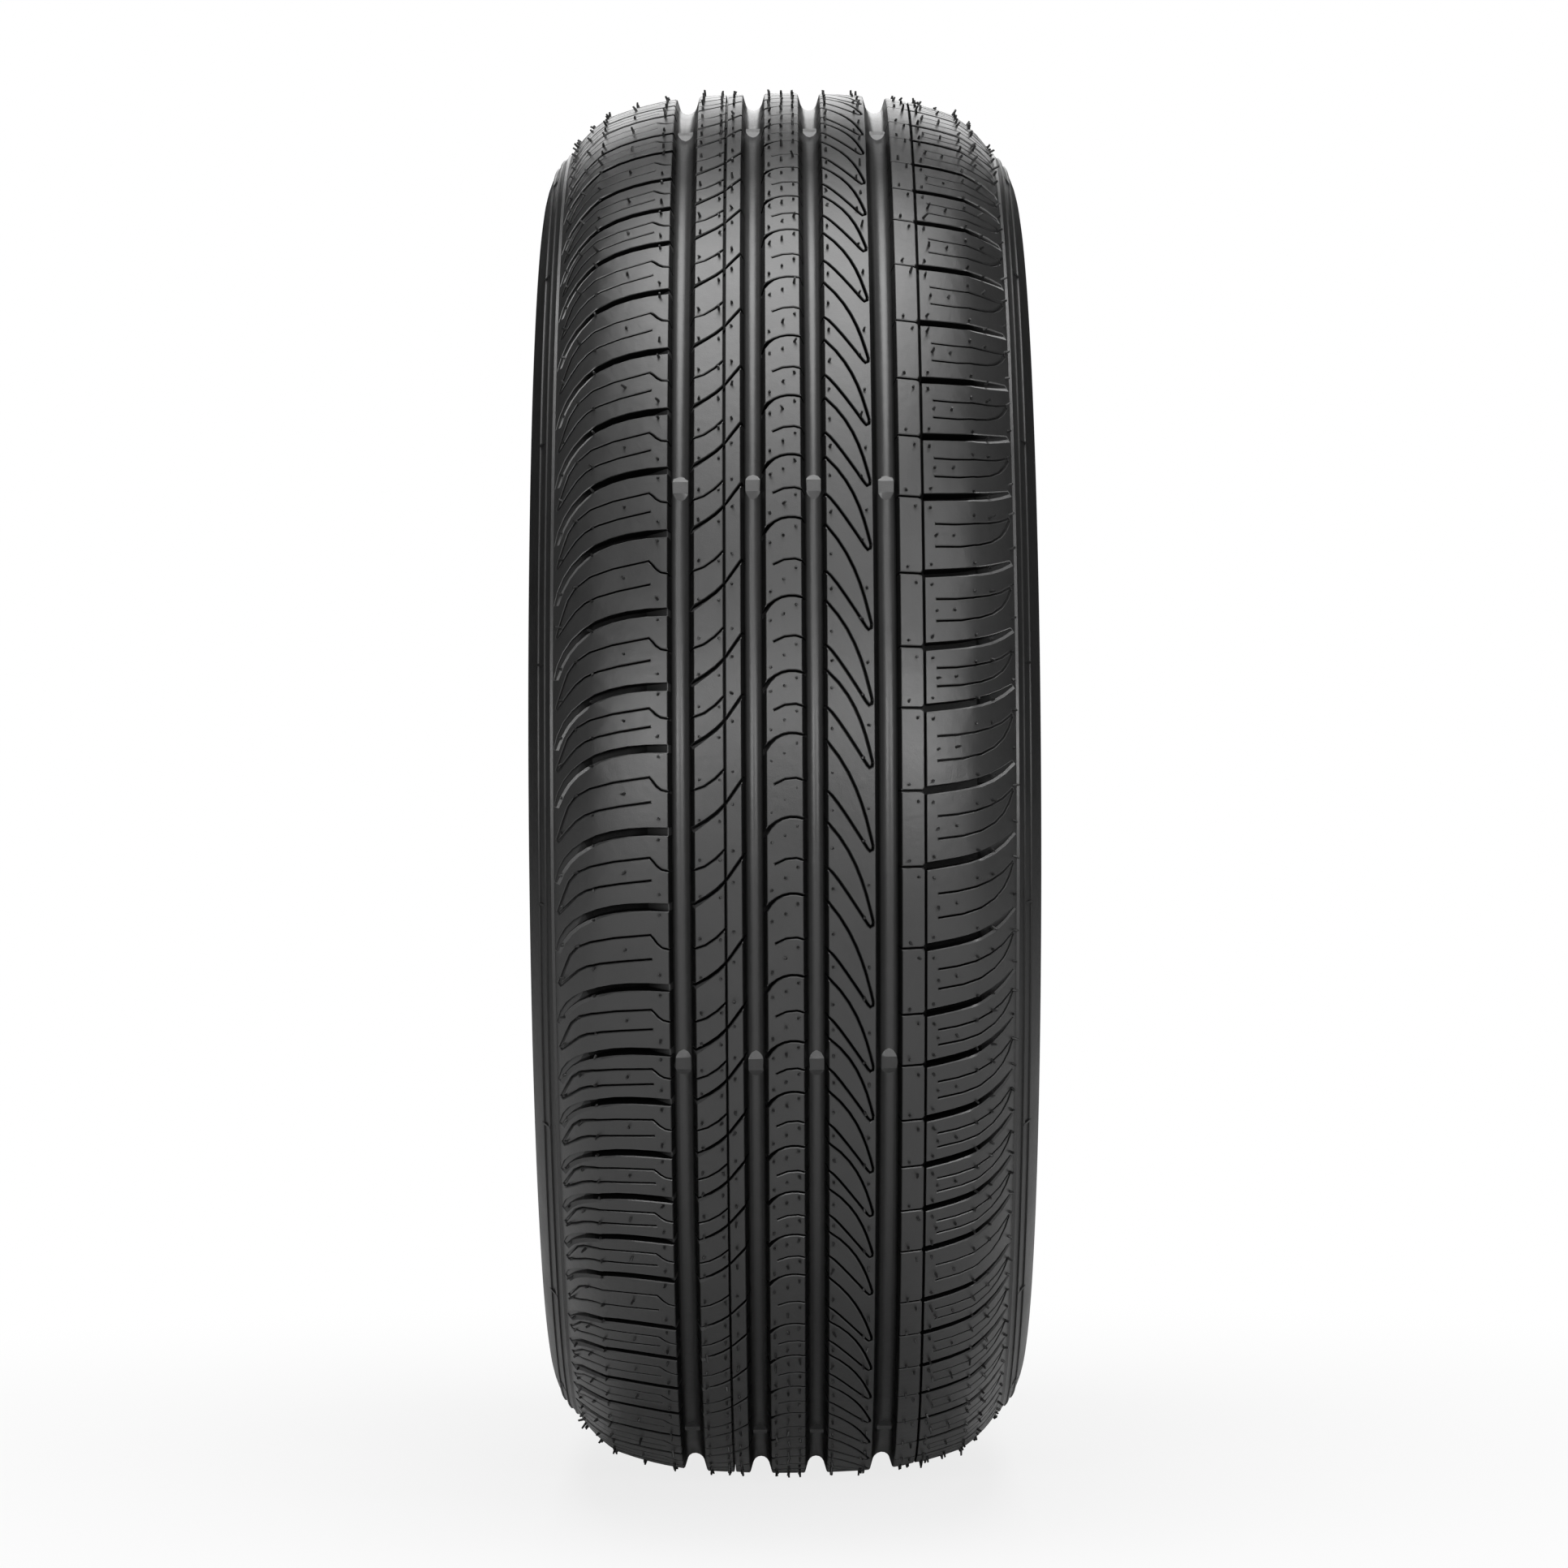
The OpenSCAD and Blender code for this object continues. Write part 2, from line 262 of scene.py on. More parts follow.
def ccw(loop):
    """The loop with its inside on the left, as the triangulation wants it."""
    area = sum(a[0] * b[1] - b[0] * a[1] for a, b in zip(loop, loop[1:] + loop[:1]))
    return loop if area > 0 else loop[::-1]


def value_at(value, s):
    """A value that is a plain number, or changes with s."""
    return value(s) if callable(value) else value


lip_share = 0.6


class Cut:
    """A cut in the tread: its outline, the outline of its lip, and its depths."""

    def __init__(self, path, width, depth, lip=0.32, lip_depth=0.3, lip_left=None, open_start=0,
                 open_end=0):
        widths = np.full(len(path), width, float) if np.isscalar(width) else np.array(width, float)
        wide = np.full(len(path), lip, float) if lip_left is None else np.array(lip_left, float)
        path = lengthened(path, open_start, open_end)
        self.path = path
        self.depth = depth
        self.lip_depth = lip_depth
        self.reach = widths.max() / 2 + max(wide.max(), lip)
        self.inner = ccw(offset(path, widths / 2, widths / 2))
        outer = lengthened(path, 0 if open_start else lip, 0 if open_end else lip)
        self.outer = ccw(offset(outer, widths / 2 + wide, widths / 2 + lip))
        self.low = min(q[1] for q in self.outer)
        self.high = max(q[1] for q in self.outer)

    def floor(self, s):
        """Height of the cut's floor at s."""
        return surface(s)[0] - value_at(self.depth, s)

    def rim(self, s):
        """Height of the lip's inner edge at s."""
        return surface(s)[0] - min(value_at(self.lip_depth, s), lip_share * value_at(self.depth, s))


print("A test ribbon:", offset([(0, 0), (5, 0)], [1, 1], [1, 1]))

# %% [markdown]
# Each pitch holds fourteen cuts. On the left shoulder there are a wide cross groove, with a
# raised bar that ties it beside the main groove, and a loop of two long thin cuts that meet
# near the edge. The left rib has a long and a short arc, the middle rib has two arcs, and
# the right rib has a pointed leaf, drawn as two cuts. On the right there are a short cut to
# the thin groove and a small widening where it ends, then a second cross groove and a
# second thin loop. All sizes are measured on the photograph, and every one is tied to the
# pitch's own length where it stretches.

# %% The cuts of one pitch
left_rim, left_inner = -47.2, -36.8
middle_left, middle_right = -7.5, 7.5
right_inner, right_rim = 36.8, 47.2
rib_left, rib_right = -17.3, 17.3
left_hairline, right_hairline = -24.2, 57.0
hairline_w, hairline_depth = 0.9, 3.5
shoulder_end = tread_edge
cross_groove_w = 3.3
cross_groove_depth = 6.2
cross_groove_narrowing = 0.7
lip_starts, lip_full = 70, 82
sipe_w = 0.8
rib_cut_w = 1.0
over = 1.5


def cross_depth(s):
    """Depth of a cross groove: it rises to the edge, and beside the left main groove."""
    share = (abs(s) - right_rim) / (shoulder_end - right_rim)
    return cross_groove_depth * float(np.interp(share, [0.13, 0.17, 0.5, 0.8, 1],
        [0.3 if s < 0 else 1, 1, 0.95, 0.5, 0.08]))


def sipe_depth(s):
    """Depth of a thin cut in a shoulder, which rises towards the edge."""
    return float(np.interp(abs(s), [60, 80, 93], [4.5, 3.5, 1.0]))


def tapered(path):
    """Widths of a cross groove along its path, narrowing towards the edge."""
    n = len(path) - 1
    return [cross_groove_w * (1 - cross_groove_narrowing * (i / n) ** 4) for i in range(n + 1)]


def cross_lip_depth(s):
    """Depth of a cross groove's lip, which becomes a bevel on the rounded shoulder."""
    return float(np.interp(abs(s), [lip_starts, lip_full], [0.35, 0.75]))


def cross_lip(path):
    """Widths of the lip on a cross groove's lower side."""
    return [float(np.interp(abs(s), [lip_starts, lip_full], [0.4, 1.25])) for s, _ in path]


def shoulder_cuts_left(p):
    """The left shoulder's cross groove and thin loop, for a pitch of length p."""
    groove = bezier(across(left_rim, -shoulder_end,
        [(0, 0), (0.57, 1), (0.89, -5.2), (0.985, -24.3)]), 9)
    yield Cut(groove, tapered(groove), cross_depth, lip=0.15, lip_depth=cross_lip_depth,
        lip_left=cross_lip(groove), open_start=over)
    hook = bezier(across(left_rim, -shoulder_end, [(0, -0.52 * p), (0.1, -0.52 * p),
        (0.115, -0.4 * p), (0.163, -0.345 * p)]), 4)
    leg = bezier(across(left_rim, -shoulder_end, [(0.163, -0.345 * p),
        (0.923, -0.39 * p - 2.7), (0.83, -0.43 * p - 4.8), (0.97, -0.645 * p - 17.2)]), 6)
    yield Cut(hook + leg[1:], sipe_w, sipe_depth, open_start=over)
    back = bezier(across(left_rim, -shoulder_end, [(0.15, -0.645 * p), (0.81, -0.645 * p - 4.1),
        (0.74, -0.645 * p - 4.9), (0.951, -0.645 * p - 17.2)]), 6)
    back += across(left_rim, -shoulder_end, [(0.964, -0.645 * p - 17.9)])
    yield Cut(back, sipe_w, sipe_depth)


def start_chamfer(s):
    """Depth of the long arc's lip, which is a chamfer beside the left main groove."""
    return float(np.interp(s, [left_inner, left_inner + 2], [1.1, 0.4]))


def junction_chamfer(s):
    """Depth of the strip cut's lip, which is a chamfer beside the right thin groove."""
    return float(np.interp(s, [right_hairline - 2, right_hairline], [0.3, 1.0]))


def rib_cuts_left(p):
    """The left rib's long arc, which is widest in its middle, and its short arc."""
    arc = bezier(across(left_inner, rib_left, [(0, 1.6), (0.635, 8.3), (0.66, 12), (1, 21)]), 6)
    width = [float(np.interp(s, [left_inner, -32, -26, -22, rib_left], [0.9, 1.3, 1.2, 0.9, 1.1]))
        for s, _ in arc]
    chamfer = [float(np.interp(s, [left_inner, left_inner + 2], [1.3, 0.32])) for s, _ in arc]
    yield Cut(arc[::-1], width[::-1], rib_cut_depth, lip_left=chamfer[::-1],
        lip_depth=start_chamfer, open_start=over, open_end=over)
    short = bezier(across(left_inner, left_hairline,
        [(0, -0.5 * p), (0.31, 0.4 - 0.5 * p), (0.75, 4.7 - 0.5 * p), (1, 8.7 - 0.5 * p)]), 3)
    yield Cut(short, sipe_w, 4.0, open_start=over)


def middle_cuts(p):
    """The middle rib's two arcs, placed from the rib's own start."""
    arc = bezier(across(middle_left, middle_right,
        [(-0.05, -6.4), (0.213, 0.5), (0.64, 1.8), (1, 0)]), 6)
    width = [2.0, 1.5] + [rib_cut_w] * (len(arc) - 2)
    yield Cut(arc, width, rib_cut_depth, open_start=over, open_end=over)
    short = bezier(across(middle_left, middle_right,
        [(0.22, -1.6 - 0.54 * p), (0.48, 1.4 - 0.54 * p), (0.893, 1.4 - 0.54 * p), (1, -0.54 * p)]), 3)
    yield Cut(short, sipe_w, 4.0, open_end=over)


def rib_cuts_right(above):
    """The right rib's leaf: one curve down from the groove to its tip, and one back."""
    down = bezier(across(rib_right, right_inner,
        [(0, 0.595 * above), (0.615, 0.175 * above), (0.795, -10), (0.935, -22.4)]), 7)
    yield Cut(down[::-1], rib_cut_w, rib_cut_depth, open_end=over)
    back = bezier(across(rib_right, right_inner,
        [(0, 0), (0.123, -1.4), (0.451, -11.5), (0.826, -23.4)]), 5)
    tip = across(rib_right, right_inner, [(0.872, -24.4), (0.925, -23.8), (0.935, -22.4)])
    yield Cut(back + tip, rib_cut_w, rib_cut_depth, open_start=over)


def shoulder_cuts_right(p):
    """The right strip's cut, and the right shoulder's cross groove and thin loop."""
    strip = [(right_hairline, 0), (right_hairline - 2, 0), (right_rim, 0)]
    yield Cut(strip, hairline_w, hairline_depth, lip_left=[1.3, 0.32, 0.32],
        lip_depth=junction_chamfer, open_end=over)
    widening = [(right_hairline, t) for t in (-1.7, 0, 1.7)]
    yield Cut(widening, [0.7, 2.6, 0.7], hairline_depth)
    groove = bezier(across(right_rim, shoulder_end,
        [(0.208, 0), (0.541, 2.1), (0.749, 2.2), (0.97, 12.6)]), 7)
    yield Cut(groove[::-1], tapered(groove)[::-1], cross_depth, lip=0.15,
        lip_depth=cross_lip_depth, lip_left=cross_lip(groove)[::-1])
    outer = bezier(across(right_rim, shoulder_end, [(0.314, -0.64 * p), (0.811, 1 - 0.64 * p),
        (0.907, 4 - 0.5 * p), (0.97, 10.3 - 0.34 * p)]), 6)
    yield Cut(outer, sipe_w, sipe_depth)
    inner = bezier(across(right_rim, shoulder_end, [(0.314, -0.34 * p), (0.605, 0.5 - 0.34 * p),
        (0.847, 3.8 - 0.34 * p), (0.951, 10.3 - 0.34 * p)]), 5)
    inner += across(right_rim, shoulder_end, [(0.966, 11.2 - 0.34 * p)])
    yield Cut(inner, sipe_w, sipe_depth)


def moved(cut, t):
    """The same cut further round the tread."""
    other = copy.copy(cut)
    for name in ("path", "inner", "outer"):
        setattr(other, name, [(q[0], q[1] + t) for q in getattr(cut, name)])
    other.low, other.high = cut.low + t, cut.high + t
    return other


cuts = []
for i, (start, p) in enumerate(zip(pitch_starts, lengths)):
    groups = [(shoulder_cuts_left(p), 0), (rib_cuts_left(p), 0), (middle_cuts(p), middle_lead),
        (rib_cuts_right(lengths[i - 1]), right_lead), (shoulder_cuts_right(p), right_lead)]
    for group, lead in groups:
        cuts += [moved(cut, start + lead) for cut in group]
print(f"{len(cuts)} cuts, {sum(len(c.path) for c in cuts)} points on their paths")

# %% [markdown]
# Eight sets of low bars cross the main grooves. They come level with the tread when it is
# worn out. Each bar has a flat top between two slopes, and rises out of the groove's round
# floor, so the lines where it meets that floor are curved.

# %% Wear bars
wear_sets = 8
wear_first = math.radians(23.2) * tread_r
wear_flat, wear_slope, wear_rise = 5.2, 3.2, 1.6
wear_bars = [wear_first + k * round_length / wear_sets for k in range(wear_sets)]
wear_bars = [t if t < round_length / 2 else t - round_length for t in wear_bars]
bar_half = wear_flat / 2 + wear_slope


def bar_height(s, t):
    """Height of a wear bar's top at a place in a main groove, or far below without one."""
    best = -1e3
    for middle, width in grooves:
        if abs(s - middle) < width / 2:
            for bar in wear_bars:
                rise = min(wear_rise, (bar_half - abs(t - bar)) * wear_rise / wear_slope)
                if rise > 0:
                    best = surface(middle)[0] - groove_depth + rise
    return best


def bar_outline(middle, width, bar):
    """Where a wear bar meets the round floor of its groove, and the edges of its flat top."""
    rises = [wear_rise * k / 4 for k in range(5)]
    right = [(half_floor(width, h), bar_half - h * wear_slope / wear_rise) for h in rises]
    right += [(x, -t) for x, t in right[::-1]]
    for side in (-1, 1):
        yield [(middle + side * x, bar + t) for x, t in right]
    x = half_floor(width, wear_rise)
    for t in (-wear_flat / 2, wear_flat / 2):
        yield [(middle - x, bar + t), (middle + x, bar + t)]


print(f"{wear_sets} sets of wear bars, {wear_rise} mm high")

# %% [markdown]
# Now the flat drawing becomes triangles. A constrained triangulation keeps every
# outline as an edge and says which outlines each triangle lies in, so a triangle knows
# whether it is tread surface, bevelled lip or floor of a cut. Booleans on a solid would
# give the same shape, but leave long slivers that shade badly and are hard to control.
#
# The round is worked in equal parts that meet on a straight line. A cut that crosses such
# a line is in both parts and is trimmed by it in the same way, so the parts weld.

# %% The free points of the surface
rows = 180
parts = 12
row_step = round_length / rows
rows_a_part = rows // parts
free_s = [-91.5, -88.4, -85.0, -81.6, -70.0, -61.0, -52.0, -32.0, -28.0, -20.7,
    -3.7, 3.7, 22.0, 27.0, 32.0, 52.0, 62.0, 71.0, 81.6, 85.0, 88.4, 91.5]
dense_from = 80
clearance = 1.1
margin = 6.0


def clear_of(cuts_here, points):
    """Which points keep clear of every cut's path."""
    ends = np.array([a + b for c in cuts_here for a, b in zip(c.path, c.path[1:])])
    reach = np.array([c.reach for c in cuts_here for _ in c.path[1:]]) + clearance
    a, b = ends[:, :2], ends[:, 2:]
    p = np.array(points)[:, None, :]
    share = np.clip(np.sum((p - a) * (b - a), axis=2) / np.sum((b - a) ** 2, axis=1), 0, 1)
    gap = np.linalg.norm(p - a - share[..., None] * (b - a), axis=2)
    return (gap > reach).all(axis=1)


print(f"{len(free_s)} free columns on {rows} rows")

# %% Triangulate one part and lift it
corner = {}
corners = []
faces = []
SURFACE, BEVEL, LIP, FLOOR, WALL, BAR, RAMP, CASING, INSIDE = range(9)


def vertex(s, t, h):
    """The number of the mesh's point at a place on the flat drawing, made if it is new."""
    turn = (t + round_length / 2) % round_length
    if turn > round_length - 1e-4:
        turn = 0.0
    key = (round(s, 3), round(turn, 3), round(h, 3))
    if key not in corner:
        corner[key] = len(corners)
        corners.append((s, turn - round_length / 2, h))
    return corner[key]


def add_face(a, b, c, kind):
    """A triangle, unless two of its corners are one."""
    if a != b and b != c and a != c:
        faces.append((a, b, c, kind))


def zipper(left, right, kind):
    """The triangles between two upright rows of points."""
    i = j = 0
    while i < len(left) - 1 or j < len(right) - 1:
        if j == len(right) - 1 or (i < len(left) - 1 and i * len(right) <= j * len(left)):
            add_face(left[i], right[j], left[i + 1], kind)
            i += 1
        else:
            add_face(left[i], right[j], right[j + 1], kind)
            j += 1


def triangulate(part):
    """Draw one part of the round, cut it into triangles and lift them to their heights."""
    low = -round_length / 2 + part * rows_a_part * row_step
    high = low + rows_a_part * row_step
    here = []
    for cut in cuts:
        for turn in (-round_length, 0, round_length):
            if cut.low + turn < high + margin and cut.high + turn > low - margin:
                here.append(moved(cut, turn))
    for s in (left_hairline, right_hairline):
        here.append(Cut([(s, low - 2), (s, high + 2)], hairline_w, hairline_depth))
    points, lines, loops = [], [], []

    def chain(new):
        """Draw a line of new points."""
        first = len(points)
        points.extend(new)
        lines.extend((first + k, first + k + 1) for k in range(len(new) - 1))

    for s in column_s:
        chain([(float(s), low + k * row_step) for k in range(rows_a_part + 1)])
    for t in (low, high):
        chain([(-ledge_edge, t), (ledge_edge, t)])
    for bar in wear_bars:
        if low - bar_half < bar < high + bar_half:
            for middle, width in grooves:
                for line in bar_outline(middle, width, bar):
                    chain(line)
    grid = [(s, low + k * row_step) for k in range(rows_a_part + 1) for s in free_s]
    grid += [(s, low + (k + 0.5) * row_step) for k in range(rows_a_part) for s in free_s
        if abs(s) > dense_from]
    keep = clear_of(here, grid)
    points.extend(p for p, ok in zip(grid, keep) if ok)
    for cut in here:
        for loop in (cut.outer, cut.inner):
            first = len(points)
            points.extend(loop)
            loops.append(list(range(first, first + len(loop))))
    flat, _, triangles, _, _, owners = geometry.delaunay_2d_cdt(
        [Vector(p) for p in points], lines, loops, 0, 1e-5, True)
    flat = [(v.x, v.y) for v in flat]

    kept = []
    rim_corners = defaultdict(set)
    for triangle, own in zip(triangles, owners):
        s = sum(flat[v][0] for v in triangle) / 3
        t = sum(flat[v][1] for v in triangle) / 3
        if low < t < high and abs(s) < ledge_edge:
            kept.append((triangle, tuple(sorted(set(own))), s, t))
            for loop in own:
                if loop % 2:
                    rim_corners[loop // 2].update(triangle)
    base = {}

    def level(v, own):
        """The height of a corner, as a triangle in these outlines has it."""
        s, t = flat[v]
        if v not in base:
            base[v] = max(uncut_height(s), bar_height(s, t))
        h = base[v]
        for loop in own:
            cut = here[loop // 2]
            if loop % 2:
                h = min(h, cut.floor(s))
            elif v in rim_corners[loop // 2]:
                h = min(h, cut.rim(s))
        return round(h, 3)

    levels = defaultdict(set)
    edges = defaultdict(list)
    for triangle, own, s, t in kept:
        heights = [level(v, own) for v in triangle]
        kind = SURFACE
        if own and any(heights[k] < round(base[triangle[k]], 3) for k in range(3)):
            kind = FLOOR if any(loop % 2 for loop in own) else BEVEL
            if kind == BEVEL and any(here[loop // 2].lip_depth is cross_lip_depth for loop in own):
                kind = LIP
        elif bar_height(s, t) > uncut_height(s):
            kind = BAR if min(abs(t - bar) for bar in wear_bars) < wear_flat / 2 else RAMP
        add_face(*(vertex(*flat[v], h) for v, h in zip(triangle, heights)), kind)
        for k in range(3):
            v, w = triangle[k], triangle[(k + 1) % 3]
            levels[v].add(heights[k])
            levels[w].add(heights[(k + 1) % 3])
            edges[min(v, w), max(v, w)].append((v, w, heights[k], heights[(k + 1) % 3]))
    for pair in edges.values():
        if len(pair) != 2:
            continue
        (v, w, v1, w1), (_, _, w2, v2) = pair
        if v1 == v2 and w1 == w2:
            continue
        side_v = sorted(h for h in levels[v] if min(v1, v2) <= h <= max(v1, v2))
        side_w = sorted(h for h in levels[w] if min(w1, w2) <= h <= max(w1, w2))
        up = v1 + w1 > v2 + w2
        if not up:
            v, w, side_v, side_w = w, v, side_w, side_v
        left = [vertex(*flat[v], h) for h in side_v]
        right = [vertex(*flat[w], h) for h in side_w]
        zipper(left, right, WALL)


for part in range(parts):
    triangulate(part)
print(f"The tread has {len(corners)} points and {len(faces)} triangles")

# %% [markdown]
# The rest of the tyre is turned: the same section all the way round. It starts at the
# ledge beside the tread, bulges to the widest part of the sidewall, draws in past the ridge
# that protects the rim, and ends in the bead, whose straight seat grips the rim. The inside
# is the plain liner. The photograph shows only the outermost strip of the sidewalls, so
# the rest is as such tyres are made, and stays plain.

# %% The section of a sidewall
wall_top = np.array([ledge_edge + 0.5, tread_r + surface(ledge_edge)[0] - 1.2])
widest = np.array([section_half, wall_top[1] - 23.35])
heel_y, seat_r = 83.0, 202.8
bead_h, bead_w, seat_l, toe_rise = 7.2, 13.3, 8.0, 1.3
base_t, side_t = 8.4, 7.5
heel_r = bead_w - seat_l - toe_rise
fine_rib_h, fine_rib_half = 0.6, 0.7
fine_ribs = [wall_top[1] - 2.15, wall_top[1] - 5.85]
toe_y, bead_top_r = heel_y - bead_w, seat_r + bead_h - 2
wall_turn, liner_turn = 0.6, 0.55
liner_power = 2 / 2.7
turn_y, turn_r = widest + wall_turn * (np.array([heel_y, seat_r + bead_h]) - widest)
protector = [(turn_y - 8, turn_r - 8.4), (turn_y + 6, turn_r + 0.6), (turn_y + 6, turn_r + 2.6),
    (turn_y - 1, turn_r + 6.6)]


def bulge():
    """The sidewall from the ledge to its widest part: an arc, with the fine ribs on it."""
    d = widest - wall_top
    arc = d @ d / 2 / d[0]
    stations = [(math.asin(h / arc), 0) for h in np.linspace(-d[1], 0, 8)]
    for rib in fine_ribs:
        at, half = math.asin((rib - widest[1]) / arc), fine_rib_half / arc
        stations = [q for q in stations if abs(q[0] - at) > 1.5 * half or q is stations[0]]
        stations += [(at + half * x, rise) for x, rise in ((1, 0), (0.75, 1), (-0.75, 1), (-1, 0))]
    stations.sort(reverse=True)
    line = []
    for a, rise in stations:
        out = arc + rise * fine_rib_h
        line.append((widest[0] - arc + out * math.cos(a), widest[1] + out * math.sin(a)))
    return line


def s_bend(p, q, share, steps):
    """Two arcs from p to q, upright at both ends."""
    d = np.array(q, float) - p
    turn = 2 * math.atan(d[0] / d[1])
    arc = -d[1] / math.sin(turn)
    first = [p + share * arc * np.array([math.cos(a) - 1, -math.sin(a)])
        for a in turn * np.linspace(0, 1, steps + 1)[1:]]
    second = [q + (1 - share) * arc * np.array([1 - math.cos(a), math.sin(a)])
        for a in turn * np.linspace(1, 0, steps + 1)[1:]]
    return first + second


def wall_outline():
    """The outside of the sidewall from the ledge to the bead, as (y, radius)."""
    low = s_bend(widest, [heel_y, seat_r + bead_h], wall_turn, 5)
    low_y, low_r = [q[0] for q in low[::-1]], [q[1] for q in low[::-1]]
    ridge_y, ridge_r = [q[0] for q in protector], [q[1] for q in protector]
    tall = np.arange(ridge_r[0], ridge_r[-1], 0.01)
    proud = tall[np.interp(tall, ridge_r, ridge_y) > np.interp(tall, low_r, low_y)]
    radii = {proud[0], proud[-1], ridge_r[1], ridge_r[2]}
    radii |= {r for r in low_r if not proud[0] - 1.5 < r < proud[-1] + 1.5}
    lower = []
    for r in radii:
        y = np.interp(r, low_r, low_y)
        if proud[0] <= r <= proud[-1]:
            y = max(y, np.interp(r, ridge_r, ridge_y))
        lower.append((float(y), float(r)))
    lower.sort(key=lambda q: -q[1])
    return bulge() + lower


def bead_outline():
    """The bead, from its heel past the seat and the toe to its top inside."""
    heel = [(heel_y - heel_r * (1 - math.cos(a)), seat_r + heel_r * (1 - math.sin(a)))
        for a in np.radians([0, 30, 60, 90])]
    return heel + [(heel_y - heel_r - seat_l, seat_r), (toe_y, seat_r + toe_rise), (toe_y, bead_top_r)]


def liner_outline():
    """The inside, from the top of the bead to near the middle of the tread."""
    cavity = np.array([section_half - side_t, widest[1]])
    low = [tuple(q) for q in s_bend(cavity, [toe_y, bead_top_r], liner_turn, 3)[-2::-1]]
    height = tread_r - groove_depth - base_t - widest[1]
    vault = [(cavity[0] * math.cos(a) ** liner_power,
        widest[1] + height * math.sin(a) ** liner_power)
        for a in np.radians([0, 12, 24, 36, 48, 60, 72, 81])]
    return low + vault


ledge_r = tread_r + surface(ledge_edge)[0]
half = [(ledge_edge, ledge_r, False)] + [(y, r, False) for y, r in wall_outline() + bead_outline()]
half += [(y, r, True) for y, r in liner_outline()]
section = half + [(-y, r, inside) for y, r, inside in half[::-1]]
smallest_r = min(r for _, r, _ in section)
print(f"The section has {len(section)} points, and its smallest radius is {smallest_r:.1f} mm")

# %% Turn the section round the axle
for k in range(rows):
    t0 = -round_length / 2 + k * row_step
    t1 = t0 + row_step
    ring = [(vertex(y, t0, r - tread_r), vertex(y, t1, r - tread_r)) for y, r, _ in section]
    for (a0, a1), (b0, b1), start in zip(ring, ring[1:], section):
        kind = INSIDE if start[2] else CASING
        add_face(a0, b1, a1, kind)
        add_face(a0, b0, b1, kind)
print(f"With the casing there are {len(faces)} triangles")

# %% [markdown]
# The drawing is now wrapped round the axle. Points that two parts made apart from each
# other, on the line between them, can differ by a thousandth of a millimetre, so those are
# joined first, and the mesh closes.

# %% Wrap the drawing round the axle
places = np.array(corners)
angles = places[:, 1] / tread_r
radii = tread_r + places[:, 2]
points = np.stack([radii * np.cos(angles), places[:, 0], radii * np.sin(angles)], axis=1)
triangles = np.array([f[:3] for f in faces])
kinds = np.array([f[3] for f in faces])

part_length = rows_a_part * row_step
line_reach, weld_reach = 0.01, 0.004
beside_line = np.abs((places[:, 1] + part_length / 2) % part_length - part_length / 2) < line_reach
weld = np.arange(len(points))
seam = kdtree.KDTree(int(beside_line.sum()))
for v in np.flatnonzero(beside_line):
    seam.insert(points[v], int(v))
seam.balance()
for v in np.flatnonzero(beside_line):
    weld[v] = min(near[1] for near in seam.find_range(points[v], weld_reach))
triangles = weld[triangles]
a, b, c = triangles.T
whole = (a != b) & (b != c) & (a != c)
triangles, kinds = triangles[whole], kinds[whole]
used, triangles = np.unique(triangles, return_inverse=True)
triangles = triangles.reshape(-1, 3)
points, places = points[used], places[used]
print(f"{len(points)} points and {len(triangles)} triangles after the parts are joined")

# %% [markdown]
# Smooth shading needs care on a mesh of cuts: averaged over everything that meets at a
# point, the normals of a flat rib would bend towards every cut in it. So the ribs take
# their normals from the section's own tilt, and every other face averages only with faces
# of its own sort that face nearly the same way. Two places are rounder on the real tyre
# than in the mesh: the crease at the shoulder, and the rolled lower lips of the cross
# grooves, which catch the light from the front. Their normals are eased to match. The
# result is kept as custom normals.


# %% Normals
def unit(v):
    """Rows of vectors made one long."""
    return v / np.maximum(np.linalg.norm(v, axis=-1, keepdims=True), 1e-12)


def eased(values, low, high):
    """0 below low, 1 above high, and a smooth step between."""
    x = np.clip((values - low) / (high - low), 0, 1)
    return x * x * (3 - 2 * x)


like_cosine = 0.75
lip_roll = 0.85
roll_from, roll_to = 75, 81

edge1 = points[triangles[:, 1]] - points[triangles[:, 0]]
edge2 = points[triangles[:, 2]] - points[triangles[:, 0]]
weighted = np.cross(edge1, edge2)
facing = unit(weighted)

loop_face = np.repeat(np.arange(len(triangles)), 3)
loop_point = triangles.ravel()
order = np.argsort(loop_point, kind="stable")
first_at = np.searchsorted(loop_point[order], np.arange(len(points)))
share_at = np.bincount(loop_point, minlength=len(points))
repeats = share_at[loop_point]
one = np.repeat(np.arange(len(loop_point)), repeats)
step = np.arange(repeats.sum()) - np.repeat(np.cumsum(repeats) - repeats, repeats)
other = loop_face[order[first_at[loop_point[one]] + step]]
mine = loop_face[one]
facing_alike = np.sum(facing[mine] * facing[other], axis=1) > like_cosine
alike = (kinds[mine] == kinds[other]) & facing_alike
normals = np.stack([np.bincount(one, weights=weighted[other, k] * alike, minlength=len(loop_point))
    for k in range(3)], axis=1)

